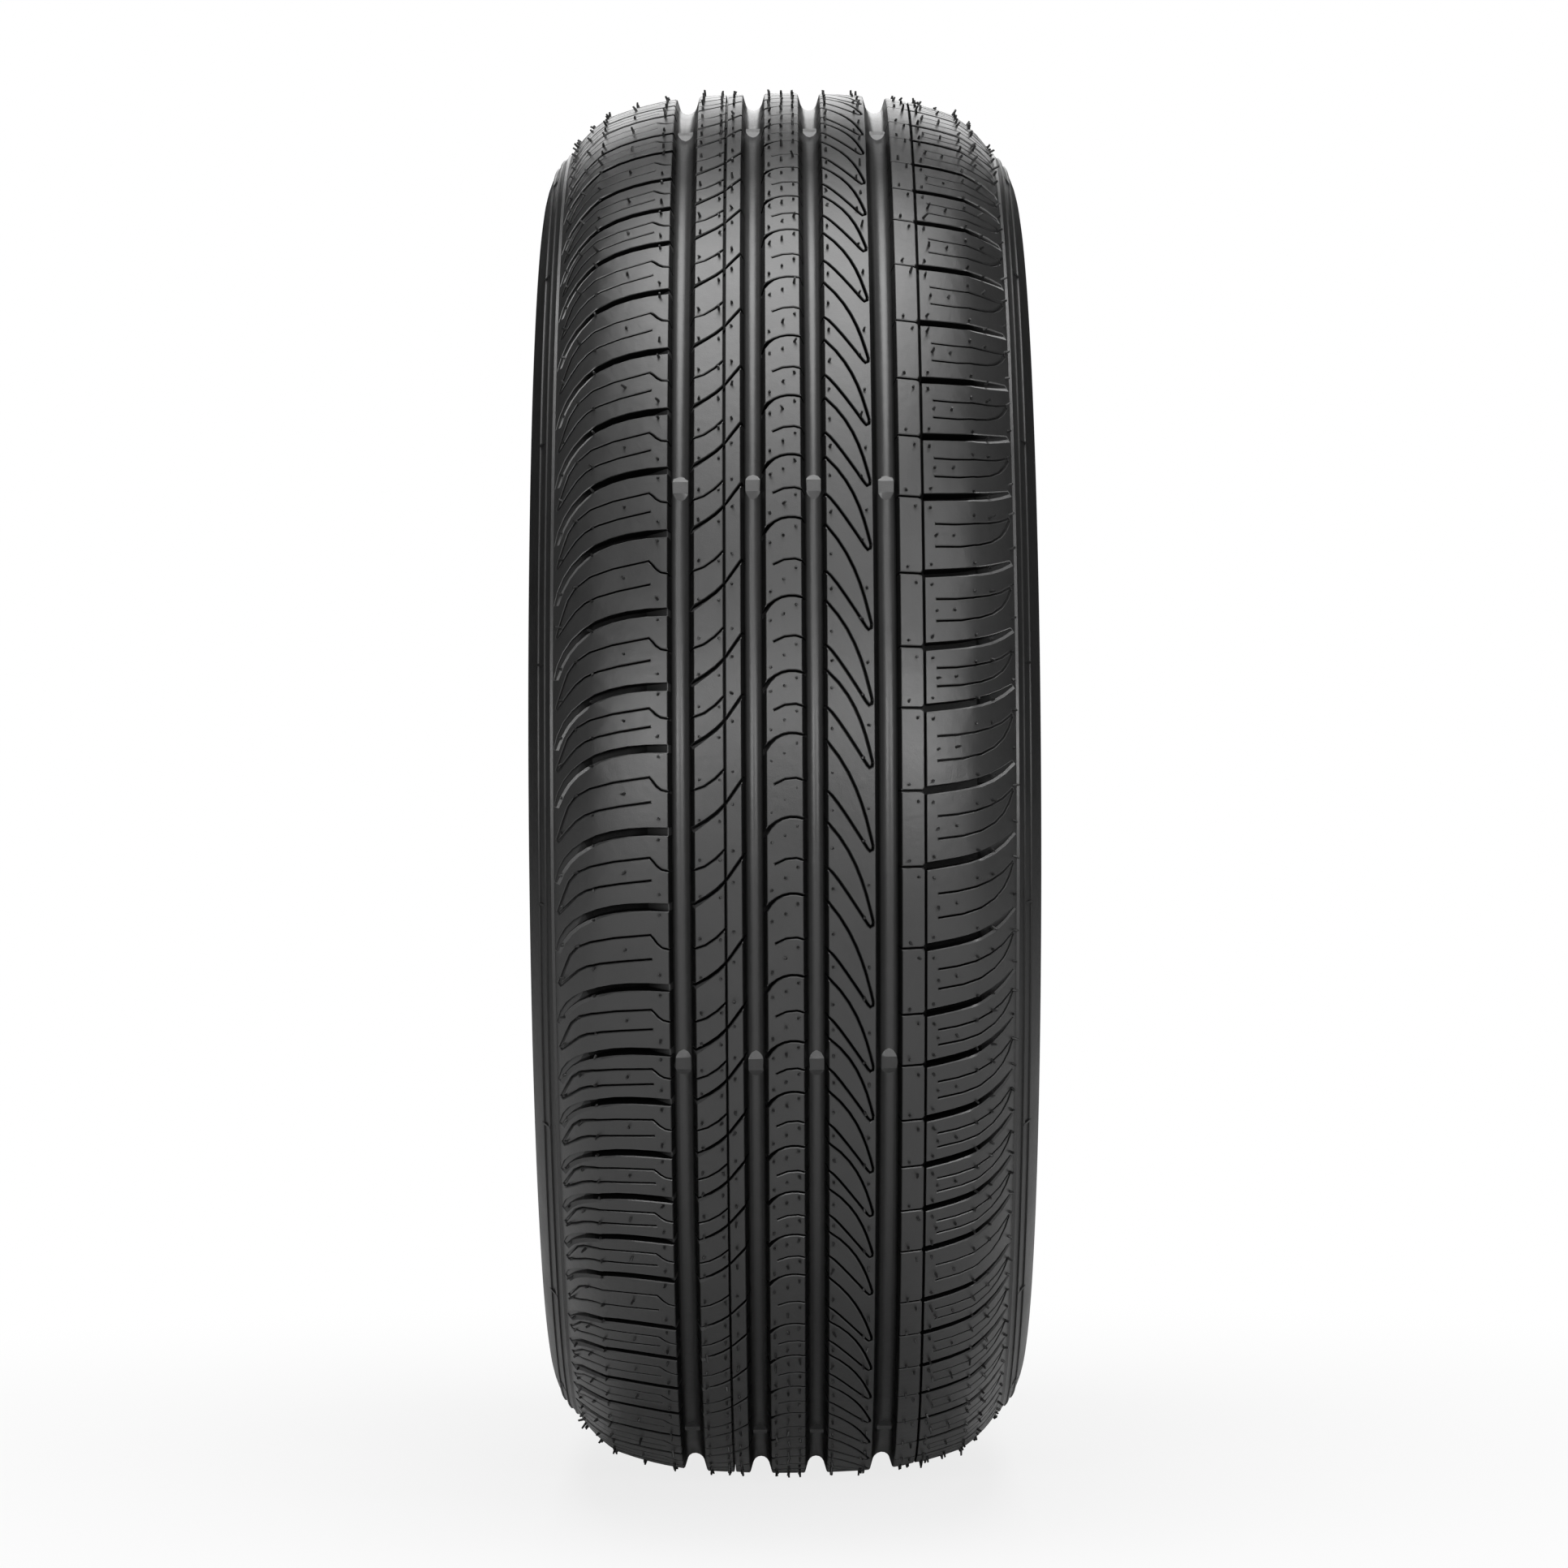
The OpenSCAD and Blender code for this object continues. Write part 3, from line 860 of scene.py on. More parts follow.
loop_s = places[loop_point, 0]
loop_angle = places[loop_point, 1] / tread_r
samples = np.sort(np.concatenate([np.linspace(-ledge_edge, ledge_edge, 1601), column_s]))
tilt = np.interp(loop_s, samples, [surface(s)[1] for s in samples])
crease_ends = [side_half - soft_crease_w, side_half + soft_crease_w]
near_crease = np.abs(np.abs(loop_s) - side_half) < soft_crease_w
crease_s = loop_s[near_crease]
tilt[near_crease] = np.sign(crease_s) * np.interp(np.abs(crease_s), crease_ends,
    [surface(s)[1] for s in crease_ends])
plain_tilt = tilt.copy()
for low, high in groove_zones:
    here = (loop_s >= low - 1e-6) & (loop_s <= high + 1e-6)
    tilt[here] = np.interp(loop_s[here], column_s, column_tilt)
true_surface = np.stack([np.cos(tilt) * np.cos(loop_angle), np.sin(tilt),
    np.cos(tilt) * np.sin(loop_angle)], axis=1)
on_surface = (kinds == SURFACE)[loop_face]
normals[on_surface] = true_surface[on_surface]
normals = unit(normals)
rolled = lip_roll * eased(np.abs(loop_s), roll_from, roll_to) * (kinds == LIP)[loop_face]
straight_out = np.stack([np.cos(loop_angle), 0 * loop_angle, np.sin(loop_angle)], axis=1)
normals = unit(normals + rolled[:, None] * (straight_out - normals))
print(f"{len(normals)} normals, {on_surface.sum()} of them from the section's own tilt")

# %% [markdown]
# Deep between walls, rubber looks black: little light gets in, and less comes out. That
# shade is painted here, not left to the lamps. One attribute says how deep in the dark each
# corner is: 1 in the cuts and on the steep walls of the main grooves, 0 on the ribs, and in
# between where a groove's wall rounds into its floor. The outer ends of the shoulders' cuts
# lie open to the light, so they stay nearly as light as the rubber beside them. The tread's
# tone is darkened by that attribute smoothly, as painted shade. Its shine can't follow it,
# because an export keeps one specular level for a material, so the tread has three
# finishes, whose loss of shine is painted shade too: the ribs' own, a duller one at the foot
# of the walls and a dull one deep down.


# %% How dark each corner is
steep_from, steep_to = 40, 68
open_from, open_to = 79, 86
deep_from, deep_to = 1.9, 3.6
wall_lightens = 0.85

steepness = np.degrees(np.abs(tilt - plain_tilt))
loop_kind = kinds[loop_face]
loop_depth = np.interp(loop_s, samples, [surface(s)[0] for s in samples]) - places[loop_point, 2]
open_end = eased(np.abs(loop_s), open_from, open_to)
floor_shade = eased(loop_depth, deep_from, deep_to) * (1 - open_end)
cut_shade = np.where(on_surface, eased(steepness, steep_from, steep_to), 0.0)
cut_shade = np.where(loop_kind == WALL, 1 - wall_lightens * open_end, cut_shade)
cut_shade = np.where(loop_kind == FLOOR, floor_shade, cut_shade)
print(f"{np.mean(cut_shade > 0.5):.2f} of the corners are in the dark")

# %% Make the mesh
TREAD, SIDEWALL, LINER, FOOT, DEEP = range(5)
foot_shade, deep_shade = 0.25, 0.75
finish_of = defaultdict(lambda: TREAD, {CASING: SIDEWALL, INSIDE: LINER})
finishes = np.array([finish_of[k] for k in kinds.tolist()])
# Faces deep in the painted shade take the foot or the deep finish, whose lower shine is painted shade
# as well.
face_shade = cut_shade.reshape(-1, 3).mean(axis=1)
finishes[(finishes == TREAD) & (face_shade > foot_shade)] = FOOT
finishes[(finishes == FOOT) & (face_shade > deep_shade)] = DEEP
mesh = bpy.data.meshes.new("tyre")
mesh.from_pydata((points * MM + np.array(axle)).tolist(), [], triangles.tolist())
mesh.polygons.foreach_set("material_index", finishes)
mesh.polygons.foreach_set("use_smooth", [True] * len(triangles))
mesh.attributes.new("cut_shade", "FLOAT", "CORNER").data.foreach_set("value", cut_shade)
mesh.normals_split_custom_set(normals.tolist())
tyre = bpy.data.objects.new("tyre_rubber", mesh)
bpy.context.scene.collection.objects.link(tyre)
volume = float(np.sum(np.cross(points[triangles[:, 0]], points[triangles[:, 1]])
    * points[triangles[:, 2]]) / 6)
print(f"The mesh holds {volume / 1e6:.2f} litres of rubber")

# %% [markdown]
# A mould has small vents, and rubber creeps into them. On a new tyre it stands up as fine
# hairs and short stubs. There are about two and a half thousand, so one bent hair is
# modelled and Geometry Nodes places copies of it: a point for each vent carries its
# direction and its length, a seeded random turn and lean makes each one different, and
# Realize Instances makes them real, kept as a plain mesh.

# %% Where the vents are
vent_lines = [
    (0.0, [(-51.2, 5.4, 0), (-51.2, -3.2, 0), (-65.0, 0, -0.54), (-78.0, 0, -0.2), (-78.0, 0, -0.8),
        (-84.6, -9.0, -0.3), (-91.0, -17.0, -0.1), (-91.0, -17.0, -0.55)]),
    (0.0, [(-34.6, 4.8, 0), (-34.6, 4.2, -0.5), (-26.4, 4.3, 0), (-26.4, 4.1, -0.5),
        (-21.0, 15.8, -0.15), (-21.0, 15.8, -0.75)]),
    (middle_lead, [(-5.4, 1.0, -0.34), (-5.4, 1.0, -0.96), (0.0, 1.0, -0.25), (0.0, 1.0, -0.8),
        (5.0, 1.0, -0.125), (5.0, 1.0, -0.66)]),
    (right_lead, [(19.2, 0, 0.24), (19.2, 0, -0.245), (33.8, -7.1, 0), (32.0, -20.2, 0)]),
    (right_lead, [(50.4, 2.6, 0), (53.9, -4.2, 0), (60.1, 4.2, 0), (60.1, -4.6, 0), (62.1, 0, -0.5),
        (69.6, 0, -0.47), (78.0, -4.0, -0.05), (78.0, 0, -0.8), (84.3, 2.0, -0.2),
        (84.3, 1.0, -0.85), (93.3, 5.0, -0.1), (93.3, 5.0, -0.6)]),
]
vents = [(s, start + lead + t + share * p) for start, p in zip(pitch_starts, lengths)
    for lead, line in vent_lines for s, t, share in line]
print(f"{len(vents)} vents")

# %% The points that carry the hairs
hair_sunk, shortest_hair, room_share = 0.15, 0.2, 0.9
rng = np.random.default_rng(7)
vent_mesh = bpy.data.meshes.new("vents")
vent_s = np.array([v[0] for v in vents])
vent_angle = np.array([v[1] for v in vents]) / tread_r
vent_fall = np.array([surface(s) for s in vent_s])
vent_r = tread_r + vent_fall[:, 0] - hair_sunk
vent_points = np.stack([vent_r * np.cos(vent_angle), vent_s, vent_r * np.sin(vent_angle)], axis=1)
vent_out = np.stack([np.cos(vent_fall[:, 1]) * np.cos(vent_angle), np.sin(vent_fall[:, 1]),
    np.cos(vent_fall[:, 1]) * np.sin(vent_angle)], axis=1)
vent_mesh.from_pydata((vent_points * MM + np.array(axle)).tolist(), [], [])
vent_mesh.attributes.new("out", "FLOAT_VECTOR", "POINT").data.foreach_set("vector", vent_out.ravel())
hair_length = rng.choice([1.3, 1.7, 2.1, 2.6, 3.3], size=len(vents),
    p=[0.24, 0.34, 0.24, 0.12, 0.06])
room = room_share * np.minimum.reduce([section_half - np.abs(vent_points[:, 1]),
    (tread_r - np.abs(vent_points[:, 0])) / np.maximum(np.abs(vent_out[:, 0]), 1e-3),
    (tread_r - np.abs(vent_points[:, 2])) / np.maximum(np.abs(vent_out[:, 2]), 1e-3)])
hair_length = np.clip(np.minimum(hair_length, room), shortest_hair, None)
vent_mesh.attributes.new("length", "FLOAT", "POINT").data.foreach_set("value", hair_length * MM)
vent_holder = bpy.data.objects.new("vent_hairs", vent_mesh)
bpy.context.scene.collection.objects.link(vent_holder)
print(f"Hairs from {hair_length.min():.2f} to {hair_length.max():.2f} mm long")

# %% [markdown]
# The hair itself is a six-sided cone, bent a little. Its tree has named inputs, so the same
# tree would do for finer or stubbier hairs.


# %% The tree that grows the hairs
def wire(tree, source, target):
    """Join a socket of a node tree to another, or give it a number."""
    if isinstance(source, (int, float)):
        target.default_value = source
    else:
        tree.links.new(source, target)


def math_node(tree, operation, a, b):
    """The result of a Math node on two sockets or numbers."""
    node = tree.nodes.new("ShaderNodeMath")
    node.operation = operation
    for value, socket in zip((a, b), node.inputs):
        wire(tree, value, socket)
    return node.outputs[0]


def group_input(tree, name, kind, value):
    """A named input of a tree, with its standard value."""
    socket = tree.interface.new_socket(name, in_out="INPUT", socket_type=kind)
    socket.default_value = value
    return socket.identifier


def new_geometry_tree(name):
    """An empty Geometry Nodes tree with a geometry going in and one coming out."""
    tree = bpy.data.node_groups.new(name, "GeometryNodeTree")
    tree.interface.new_socket("Geometry", in_out="INPUT", socket_type="NodeSocketGeometry")
    tree.interface.new_socket("Geometry", in_out="OUTPUT", socket_type="NodeSocketGeometry")
    return tree, tree.nodes.new("NodeGroupInput"), tree.nodes.new("NodeGroupOutput")


def named_attribute(tree, name, kind):
    """The node that reads an attribute of the points."""
    node = tree.nodes.new("GeometryNodeInputNamedAttribute")
    node.data_type = kind
    node.inputs["Name"].default_value = name
    return node.outputs["Attribute"]


hair_tree, start, end = new_geometry_tree("grow_hairs")
hair_ids = {name: group_input(hair_tree, name, kind, value) for name, kind, value in [
    ("Root radius", "NodeSocketFloat", 0.64 * MM), ("Tip radius", "NodeSocketFloat", 0.44 * MM),
    ("Bend", "NodeSocketFloat", 0.25), ("Lean", "NodeSocketFloat", 0.3), ("Seed", "NodeSocketInt", 7)]}
cone = hair_tree.nodes.new("GeometryNodeMeshCone")
cone.fill_type = "NGON"
cone.inputs["Vertices"].default_value = 6
cone.inputs["Side Segments"].default_value = 2
cone.inputs["Depth"].default_value = 1.0
wire(hair_tree, start.outputs["Tip radius"], cone.inputs["Radius Top"])
wire(hair_tree, start.outputs["Root radius"], cone.inputs["Radius Bottom"])
print(f"The tree has the inputs {', '.join(hair_ids)}")

# %% Bend the hair, and put a copy on each vent
place = hair_tree.nodes.new("GeometryNodeInputPosition")
split = hair_tree.nodes.new("ShaderNodeSeparateXYZ")
wire(hair_tree, place.outputs["Position"], split.inputs["Vector"])
squared = math_node(hair_tree, "MULTIPLY", split.outputs["Z"], split.outputs["Z"])
bend_mm = math_node(hair_tree, "MULTIPLY", start.outputs["Bend"], MM)
aside = hair_tree.nodes.new("ShaderNodeCombineXYZ")
wire(hair_tree, math_node(hair_tree, "MULTIPLY", squared, bend_mm), aside.inputs["X"])
bow = hair_tree.nodes.new("GeometryNodeSetPosition")
wire(hair_tree, cone.outputs["Mesh"], bow.inputs["Geometry"])
wire(hair_tree, aside.outputs["Vector"], bow.inputs["Offset"])

upright = hair_tree.nodes.new("FunctionNodeAlignRotationToVector")
upright.axis = "Z"
wire(hair_tree, named_attribute(hair_tree, "out", "FLOAT_VECTOR"), upright.inputs["Vector"])
chance = hair_tree.nodes.new("FunctionNodeRandomValue")
chance.data_type = "FLOAT_VECTOR"
lean_low, lean_high = [hair_tree.nodes.new("ShaderNodeCombineXYZ") for _ in range(2)]
minus = math_node(hair_tree, "MULTIPLY", start.outputs["Lean"], -1)
for axis in ("X", "Y"):
    wire(hair_tree, minus, lean_low.inputs[axis])
    wire(hair_tree, start.outputs["Lean"], lean_high.inputs[axis])
lean_high.inputs["Z"].default_value = 2 * math.pi
wire(hair_tree, lean_low.outputs["Vector"], chance.inputs[0])
wire(hair_tree, lean_high.outputs["Vector"], chance.inputs[1])
wire(hair_tree, start.outputs["Seed"], chance.inputs["Seed"])
turned = hair_tree.nodes.new("FunctionNodeEulerToRotation")
wire(hair_tree, chance.outputs[0], turned.inputs["Euler"])
leaning = hair_tree.nodes.new("FunctionNodeRotateRotation")
leaning.rotation_space = "LOCAL"
wire(hair_tree, upright.outputs["Rotation"], leaning.inputs["Rotation"])
wire(hair_tree, turned.outputs["Rotation"], leaning.inputs["Rotate By"])
size = hair_tree.nodes.new("ShaderNodeCombineXYZ")
size.inputs["X"].default_value = 1
size.inputs["Y"].default_value = 1
wire(hair_tree, named_attribute(hair_tree, "length", "FLOAT"), size.inputs["Z"])
print(f"{len(hair_tree.nodes)} nodes so far")


# %% Make the copies real
def baked(holder, tree, values, material_name):
    """Run a tree on an object, and keep the result as a plain mesh."""
    modifier = holder.modifiers.new("tree", "NODES")
    modifier.node_group = tree
    for identifier, value in values.items():
        modifier[identifier] = value
    graph = bpy.context.evaluated_depsgraph_get()
    result = bpy.data.meshes.new_from_object(holder.evaluated_get(graph))
    holder.modifiers.remove(modifier)
    holder.data = result
    print(f"{holder.name}: {len(result.polygons)} faces of {material_name}")
    return holder


def finish_tree(tree, copies, end, material):
    """Close a tree with Realize Instances and Set Material."""
    real = tree.nodes.new("GeometryNodeRealizeInstances")
    wire(tree, copies.outputs["Instances"], real.inputs["Geometry"])
    painted = tree.nodes.new("GeometryNodeSetMaterial")
    painted.inputs["Material"].default_value = material
    wire(tree, real.outputs["Geometry"], painted.inputs["Geometry"])
    wire(tree, painted.outputs["Geometry"], end.inputs["Geometry"])


hair_rubber = bpy.data.materials.new("hair_rubber")
copies = hair_tree.nodes.new("GeometryNodeInstanceOnPoints")
wire(hair_tree, start.outputs["Geometry"], copies.inputs["Points"])
wire(hair_tree, bow.outputs["Geometry"], copies.inputs["Instance"])
wire(hair_tree, leaning.outputs["Rotation"], copies.inputs["Rotation"])
wire(hair_tree, size.outputs["Vector"], copies.inputs["Scale"])
finish_tree(hair_tree, copies, end, hair_rubber)
hairs = baked(vent_holder, hair_tree, {hair_ids["Lean"]: 0.28, hair_ids["Bend"]: 0.35}, "hair rubber")

# %% [markdown]
# High on each sidewall, eighteen short ribs cross the two fine ones. They could be cut into
# the turned section, but a second tree sets one small block on each of their places, which
# keeps the section simple. Each place carries the wall's outward direction and the
# direction along the wall.

# %% The points that carry the cross ribs
marks_a_side = 18
mark_angle = np.radians(10 + 360 / marks_a_side * np.arange(marks_a_side))
drop_d = widest - wall_top
wall_arc = drop_d @ drop_d / 2 / drop_d[0]
mark_r = sum(fine_ribs) / 2
mark_tilt = math.asin((mark_r - widest[1]) / wall_arc)
mark_y = widest[0] - wall_arc * (1 - math.cos(mark_tilt))
mark_rows = []
for side in (-1, 1):
    for angle in mark_angle:
        rim_way = np.array([math.cos(angle), 0, math.sin(angle)])
        sideways = np.array([0, side, 0])
        mark_rows.append((mark_r * rim_way + mark_y * sideways,
            math.sin(mark_tilt) * rim_way + math.cos(mark_tilt) * sideways,
            math.cos(mark_tilt) * rim_way - math.sin(mark_tilt) * sideways))
mark_mesh = bpy.data.meshes.new("cross_rib_places")
mark_mesh.from_pydata([tuple(q[0] * MM + np.array(axle)) for q in mark_rows], [], [])
for name, k in (("out", 1), ("along", 2)):
    mark_mesh.attributes.new(name, "FLOAT_VECTOR", "POINT").data.foreach_set("vector",
        np.array([q[k] for q in mark_rows]).ravel())
mark_holder = bpy.data.objects.new("sidewall_cross_ribs", mark_mesh)
bpy.context.scene.collection.objects.link(mark_holder)
print(f"{len(mark_rows)} cross ribs, {mark_y:.1f} mm from the middle")

# %% The tree that sets the cross ribs
mark_tree, start, end = new_geometry_tree("set_cross_ribs")
for name, value in (("Width", 0.9 * MM), ("Length", 5.6 * MM), ("Height", 1.3 * MM)):
    group_input(mark_tree, name, "NodeSocketFloat", value)
block_size = mark_tree.nodes.new("ShaderNodeCombineXYZ")
for axis, name in (("X", "Width"), ("Y", "Length"), ("Z", "Height")):
    wire(mark_tree, start.outputs[name], block_size.inputs[axis])
block = mark_tree.nodes.new("GeometryNodeMeshCube")
wire(mark_tree, block_size.outputs["Vector"], block.inputs["Size"])
outwards = mark_tree.nodes.new("FunctionNodeAlignRotationToVector")
outwards.axis = "Z"
wire(mark_tree, named_attribute(mark_tree, "out", "FLOAT_VECTOR"), outwards.inputs["Vector"])
lengthways = mark_tree.nodes.new("FunctionNodeAlignRotationToVector")
lengthways.axis = "Y"
lengthways.pivot_axis = "Z"
wire(mark_tree, outwards.outputs["Rotation"], lengthways.inputs["Rotation"])
wire(mark_tree, named_attribute(mark_tree, "along", "FLOAT_VECTOR"), lengthways.inputs["Vector"])
sidewall_rubber = bpy.data.materials.new("sidewall_rubber")
copies = mark_tree.nodes.new("GeometryNodeInstanceOnPoints")
wire(mark_tree, start.outputs["Geometry"], copies.inputs["Points"])
wire(mark_tree, block.outputs["Mesh"], copies.inputs["Instance"])
wire(mark_tree, lengthways.outputs["Rotation"], copies.inputs["Rotation"])
finish_tree(mark_tree, copies, end, sidewall_rubber)
marks = baked(mark_holder, mark_tree, {}, "sidewall rubber")

# %% [markdown]
# Rubber from a mould is satin: nearly black, with a broad, soft sheen and a skin that is
# never quite even. Three things make it. A fine grain comes from the mould's own surface,
# a broader unevenness comes from its release agent, and the tone wanders a little. All
# three are in one node group, so the tread, the sidewalls and the inside share it, each
# with its own values. The group also paints shade: it darkens the tone where the mesh's
# cut_shade attribute says a corner lies deep in a cut or on a groove's steep wall. How
# strongly a finish shines is the same all over it, so that is set on each material's own
# shader.

# %% The rubber's skin
skin = bpy.data.node_groups.new("rubber_skin", "ShaderNodeTree")
skin_inputs = [("Tone", 0.04), ("Tone change", 0.25), ("Roughness", 0.5), ("Roughness change", 0.1),
    ("Dark in cuts", 0.9), ("Grain size", 0.35), ("Grain", 0.12), ("Unevenness", 0.1)]
for name, value in skin_inputs:
    socket = skin.interface.new_socket(name, in_out="INPUT", socket_type="NodeSocketFloat")
    socket.default_value = value
for name, kind in (("Color", "NodeSocketColor"), ("Roughness", "NodeSocketFloat"),
        ("Normal", "NodeSocketVector")):
    skin.interface.new_socket(name, in_out="OUTPUT", socket_type=kind)
skin_in = skin.nodes.new("NodeGroupInput")
skin_out = skin.nodes.new("NodeGroupOutput")
print(f"The skin has {len(skin_inputs)} inputs")


# %% The skin's noises
def noise(tree, coordinates, scale, detail):
    """A noise on the object's own coordinates, about 0 at its middle."""
    node = tree.nodes.new("ShaderNodeTexNoise")
    for value, name in ((coordinates, "Vector"), (scale, "Scale"), (detail, "Detail")):
        wire(tree, value, node.inputs[name])
    return math_node(tree, "SUBTRACT", node.outputs["Fac"], 0.5)


where = skin.nodes.new("ShaderNodeTexCoord").outputs["Object"]
patches = noise(skin, where, 14.0, 2)
clouds = noise(skin, where, 55.0, 3)
mottle = math_node(skin, "ADD", patches, clouds)
grain_scale = math_node(skin, "DIVIDE", 1 / MM, skin_in.outputs["Grain size"])
grain = noise(skin, where, grain_scale, 2)
swell = noise(skin, where, 240.0, 2)

# Painted shade: the tone is darkened where the cut_shade attribute marks the cuts and the steep walls
# of the grooves.
in_cut = skin.nodes.new("ShaderNodeAttribute")
in_cut.attribute_name = "cut_shade"
lost = math_node(skin, "MULTIPLY", in_cut.outputs["Fac"], skin_in.outputs["Dark in cuts"])
light_left = math_node(skin, "SUBTRACT", 1, lost)
change = math_node(skin, "MULTIPLY", mottle, skin_in.outputs["Tone change"])
even_tone = math_node(skin, "MULTIPLY", skin_in.outputs["Tone"], light_left)
tone = math_node(skin, "MULTIPLY", even_tone, math_node(skin, "ADD", change, 1))
shade = skin.nodes.new("ShaderNodeCombineColor")
for channel in ("Red", "Green", "Blue"):
    wire(skin, tone, shade.inputs[channel])
wire(skin, shade.outputs["Color"], skin_out.inputs["Color"])
rough_change = math_node(skin, "MULTIPLY", math_node(skin, "ADD", mottle, grain),
    skin_in.outputs["Roughness change"])
wire(skin, math_node(skin, "ADD", skin_in.outputs["Roughness"], rough_change),
    skin_out.inputs["Roughness"])

bumps = []
for height, strength, reach in ((swell, "Unevenness", 0.4 * MM), (grain, "Grain", 0.12 * MM)):
    bump = skin.nodes.new("ShaderNodeBump")
    bump.inputs["Distance"].default_value = reach
    wire(skin, skin_in.outputs[strength], bump.inputs["Strength"])
    wire(skin, height, bump.inputs["Height"])
    if bumps:
        wire(skin, bumps[-1].outputs["Normal"], bump.inputs["Normal"])
    bumps.append(bump)
wire(skin, bumps[-1].outputs["Normal"], skin_out.inputs["Normal"])
print(f"The skin has {len(skin.nodes)} nodes")


# %% The materials
def dress(material, specular, values):
    """Give a material the rubber's skin, with its own values."""
    material.use_nodes = True
    tree = material.node_tree
    surface_node = tree.nodes["Principled BSDF"]
    surface_node.inputs["Specular IOR Level"].default_value = specular
    node = tree.nodes.new("ShaderNodeGroup")
    node.node_tree = skin
    for name, value in values.items():
        node.inputs[name].default_value = value
    wire(tree, node.outputs["Color"], surface_node.inputs["Base Color"])
    wire(tree, node.outputs["Roughness"], surface_node.inputs["Roughness"])
    wire(tree, node.outputs["Normal"], surface_node.inputs["Normal"])
    return material


tread_skin = {"Tone": 0.02, "Roughness": 0.37, "Grain": 0.35, "Unevenness": 0.25}
tread_rubber = dress(bpy.data.materials.new("tread_rubber"), 0.5, tread_skin)
# The foot and deep finishes are the tread's rubber with less shine, which paints shade into the
# grooves and cuts.
foot_rubber = dress(bpy.data.materials.new("groove_foot_rubber"), 0.2, tread_skin)
deep_rubber = dress(bpy.data.materials.new("deep_cut_rubber"), 0.05, tread_skin)
dress(sidewall_rubber, 0.4, {"Tone": 0.011, "Roughness": 0.4, "Grain": 0.25, "Unevenness": 0.2})
liner_rubber = dress(bpy.data.materials.new("liner_rubber"), 0.4,
    {"Tone": 0.034, "Roughness": 0.62, "Grain": 0.5, "Grain size": 0.9, "Unevenness": 0.5})
dress(hair_rubber, 0.35, {"Tone": 0.008, "Roughness": 0.45, "Grain": 0.1, "Unevenness": 0.0})
for material in (tread_rubber, sidewall_rubber, liner_rubber, foot_rubber, deep_rubber):
    tyre.data.materials.append(material)
print(f"{len(bpy.data.materials)} materials")

# %% [markdown]
# The tyre, its hairs and its cross ribs ride together on the part's one body, and the tyre
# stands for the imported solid.

# %% Put the pieces on the body
for piece in (tyre, hairs, marks):
    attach(piece, "root")
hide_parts("tyre")
print("The tyre, its hairs and its cross ribs ride on the root body")

# %% [markdown]
# The floor is pale and keeps the tyre's soft shadow where it stands. Further out it fades
# into plain white, and the world shows the camera the same white, so there is no horizon.
# The camera sees that white, and reflections see a trace of the floor's: it adds no light.


# %% Floor and background
def seen_directly(tree, in_reflections):
    """1 for what the camera sees, a share of it for a reflection, 0 for what only lights."""
    path = tree.nodes.new("ShaderNodeLightPath")
    glossy = math_node(tree, "MULTIPLY", path.outputs["Is Glossy Ray"], in_reflections)
    either = math_node(tree, "MAXIMUM", path.outputs["Is Camera Ray"], glossy)
    return math_node(tree, "MAXIMUM", either, path.outputs["Is Transmission Ray"])


floor_mesh = bpy.data.meshes.new("floor")
floor_z = cad_low.z
reach = 14.0
floor_mesh.from_pydata([(-reach, -reach, floor_z), (reach, -reach, floor_z), (reach, reach, floor_z),
    (-reach, reach, floor_z)], [], [(0, 1, 2, 3)])
floor = bpy.data.objects.new("floor", floor_mesh)
bpy.context.scene.collection.objects.link(floor)
floor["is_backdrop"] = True

floor_paint = bpy.data.materials.new("floor_paint")
floor_paint.use_nodes = True
tree = floor_paint.node_tree
matt = tree.nodes["Principled BSDF"]
matt.inputs["Base Color"].default_value = (0.55, 0.55, 0.55, 1)
matt.inputs["Roughness"].default_value = 0.9
white = tree.nodes.new("ShaderNodeEmission")
white.inputs["Strength"].default_value = 1.0
far = tree.nodes.new("ShaderNodeVectorMath")
far.operation = "LENGTH"
wire(tree, tree.nodes.new("ShaderNodeTexCoord").outputs["Object"], far.inputs[0])
fade = tree.nodes.new("ShaderNodeMapRange")
fade.interpolation_type = "SMOOTHSTEP"
for name, value in (("From Min", 0.25), ("From Max", 0.9), ("To Min", 0.8), ("To Max", 1.0)):
    fade.inputs[name].default_value = value
wire(tree, far.outputs["Value"], fade.inputs["Value"])
blend = tree.nodes.new("ShaderNodeMixShader")
wire(tree, math_node(tree, "MULTIPLY", fade.outputs["Result"], seen_directly(tree, 0.06)),
    blend.inputs["Fac"])
wire(tree, matt.outputs["BSDF"], blend.inputs[1])
wire(tree, white.outputs["Emission"], blend.inputs[2])
wire(tree, blend.outputs["Shader"], tree.nodes["Material Output"].inputs["Surface"])
floor.data.materials.append(floor_paint)

world = bpy.data.worlds.new("studio")
bpy.context.scene.world = world
world.use_nodes = True
tree = world.node_tree
air = tree.nodes["Background"]
air.inputs["Color"].default_value = (1, 1, 1, 1)
air.inputs["Strength"].default_value = 0.02
plain = tree.nodes.new("ShaderNodeBackground")
plain.inputs["Color"].default_value = (1, 1, 1, 1)
plain.inputs["Strength"].default_value = 1.0
blend = tree.nodes.new("ShaderNodeMixShader")
wire(tree, seen_directly(tree, 0), blend.inputs["Fac"])
wire(tree, air.outputs["Background"], blend.inputs[1])
wire(tree, plain.outputs["Background"], blend.inputs[2])
wire(tree, blend.outputs["Shader"], tree.nodes["World Output"].inputs["Surface"])
print(f"The floor is {2 * reach:.0f} m wide, at {floor_z:.3f} m")

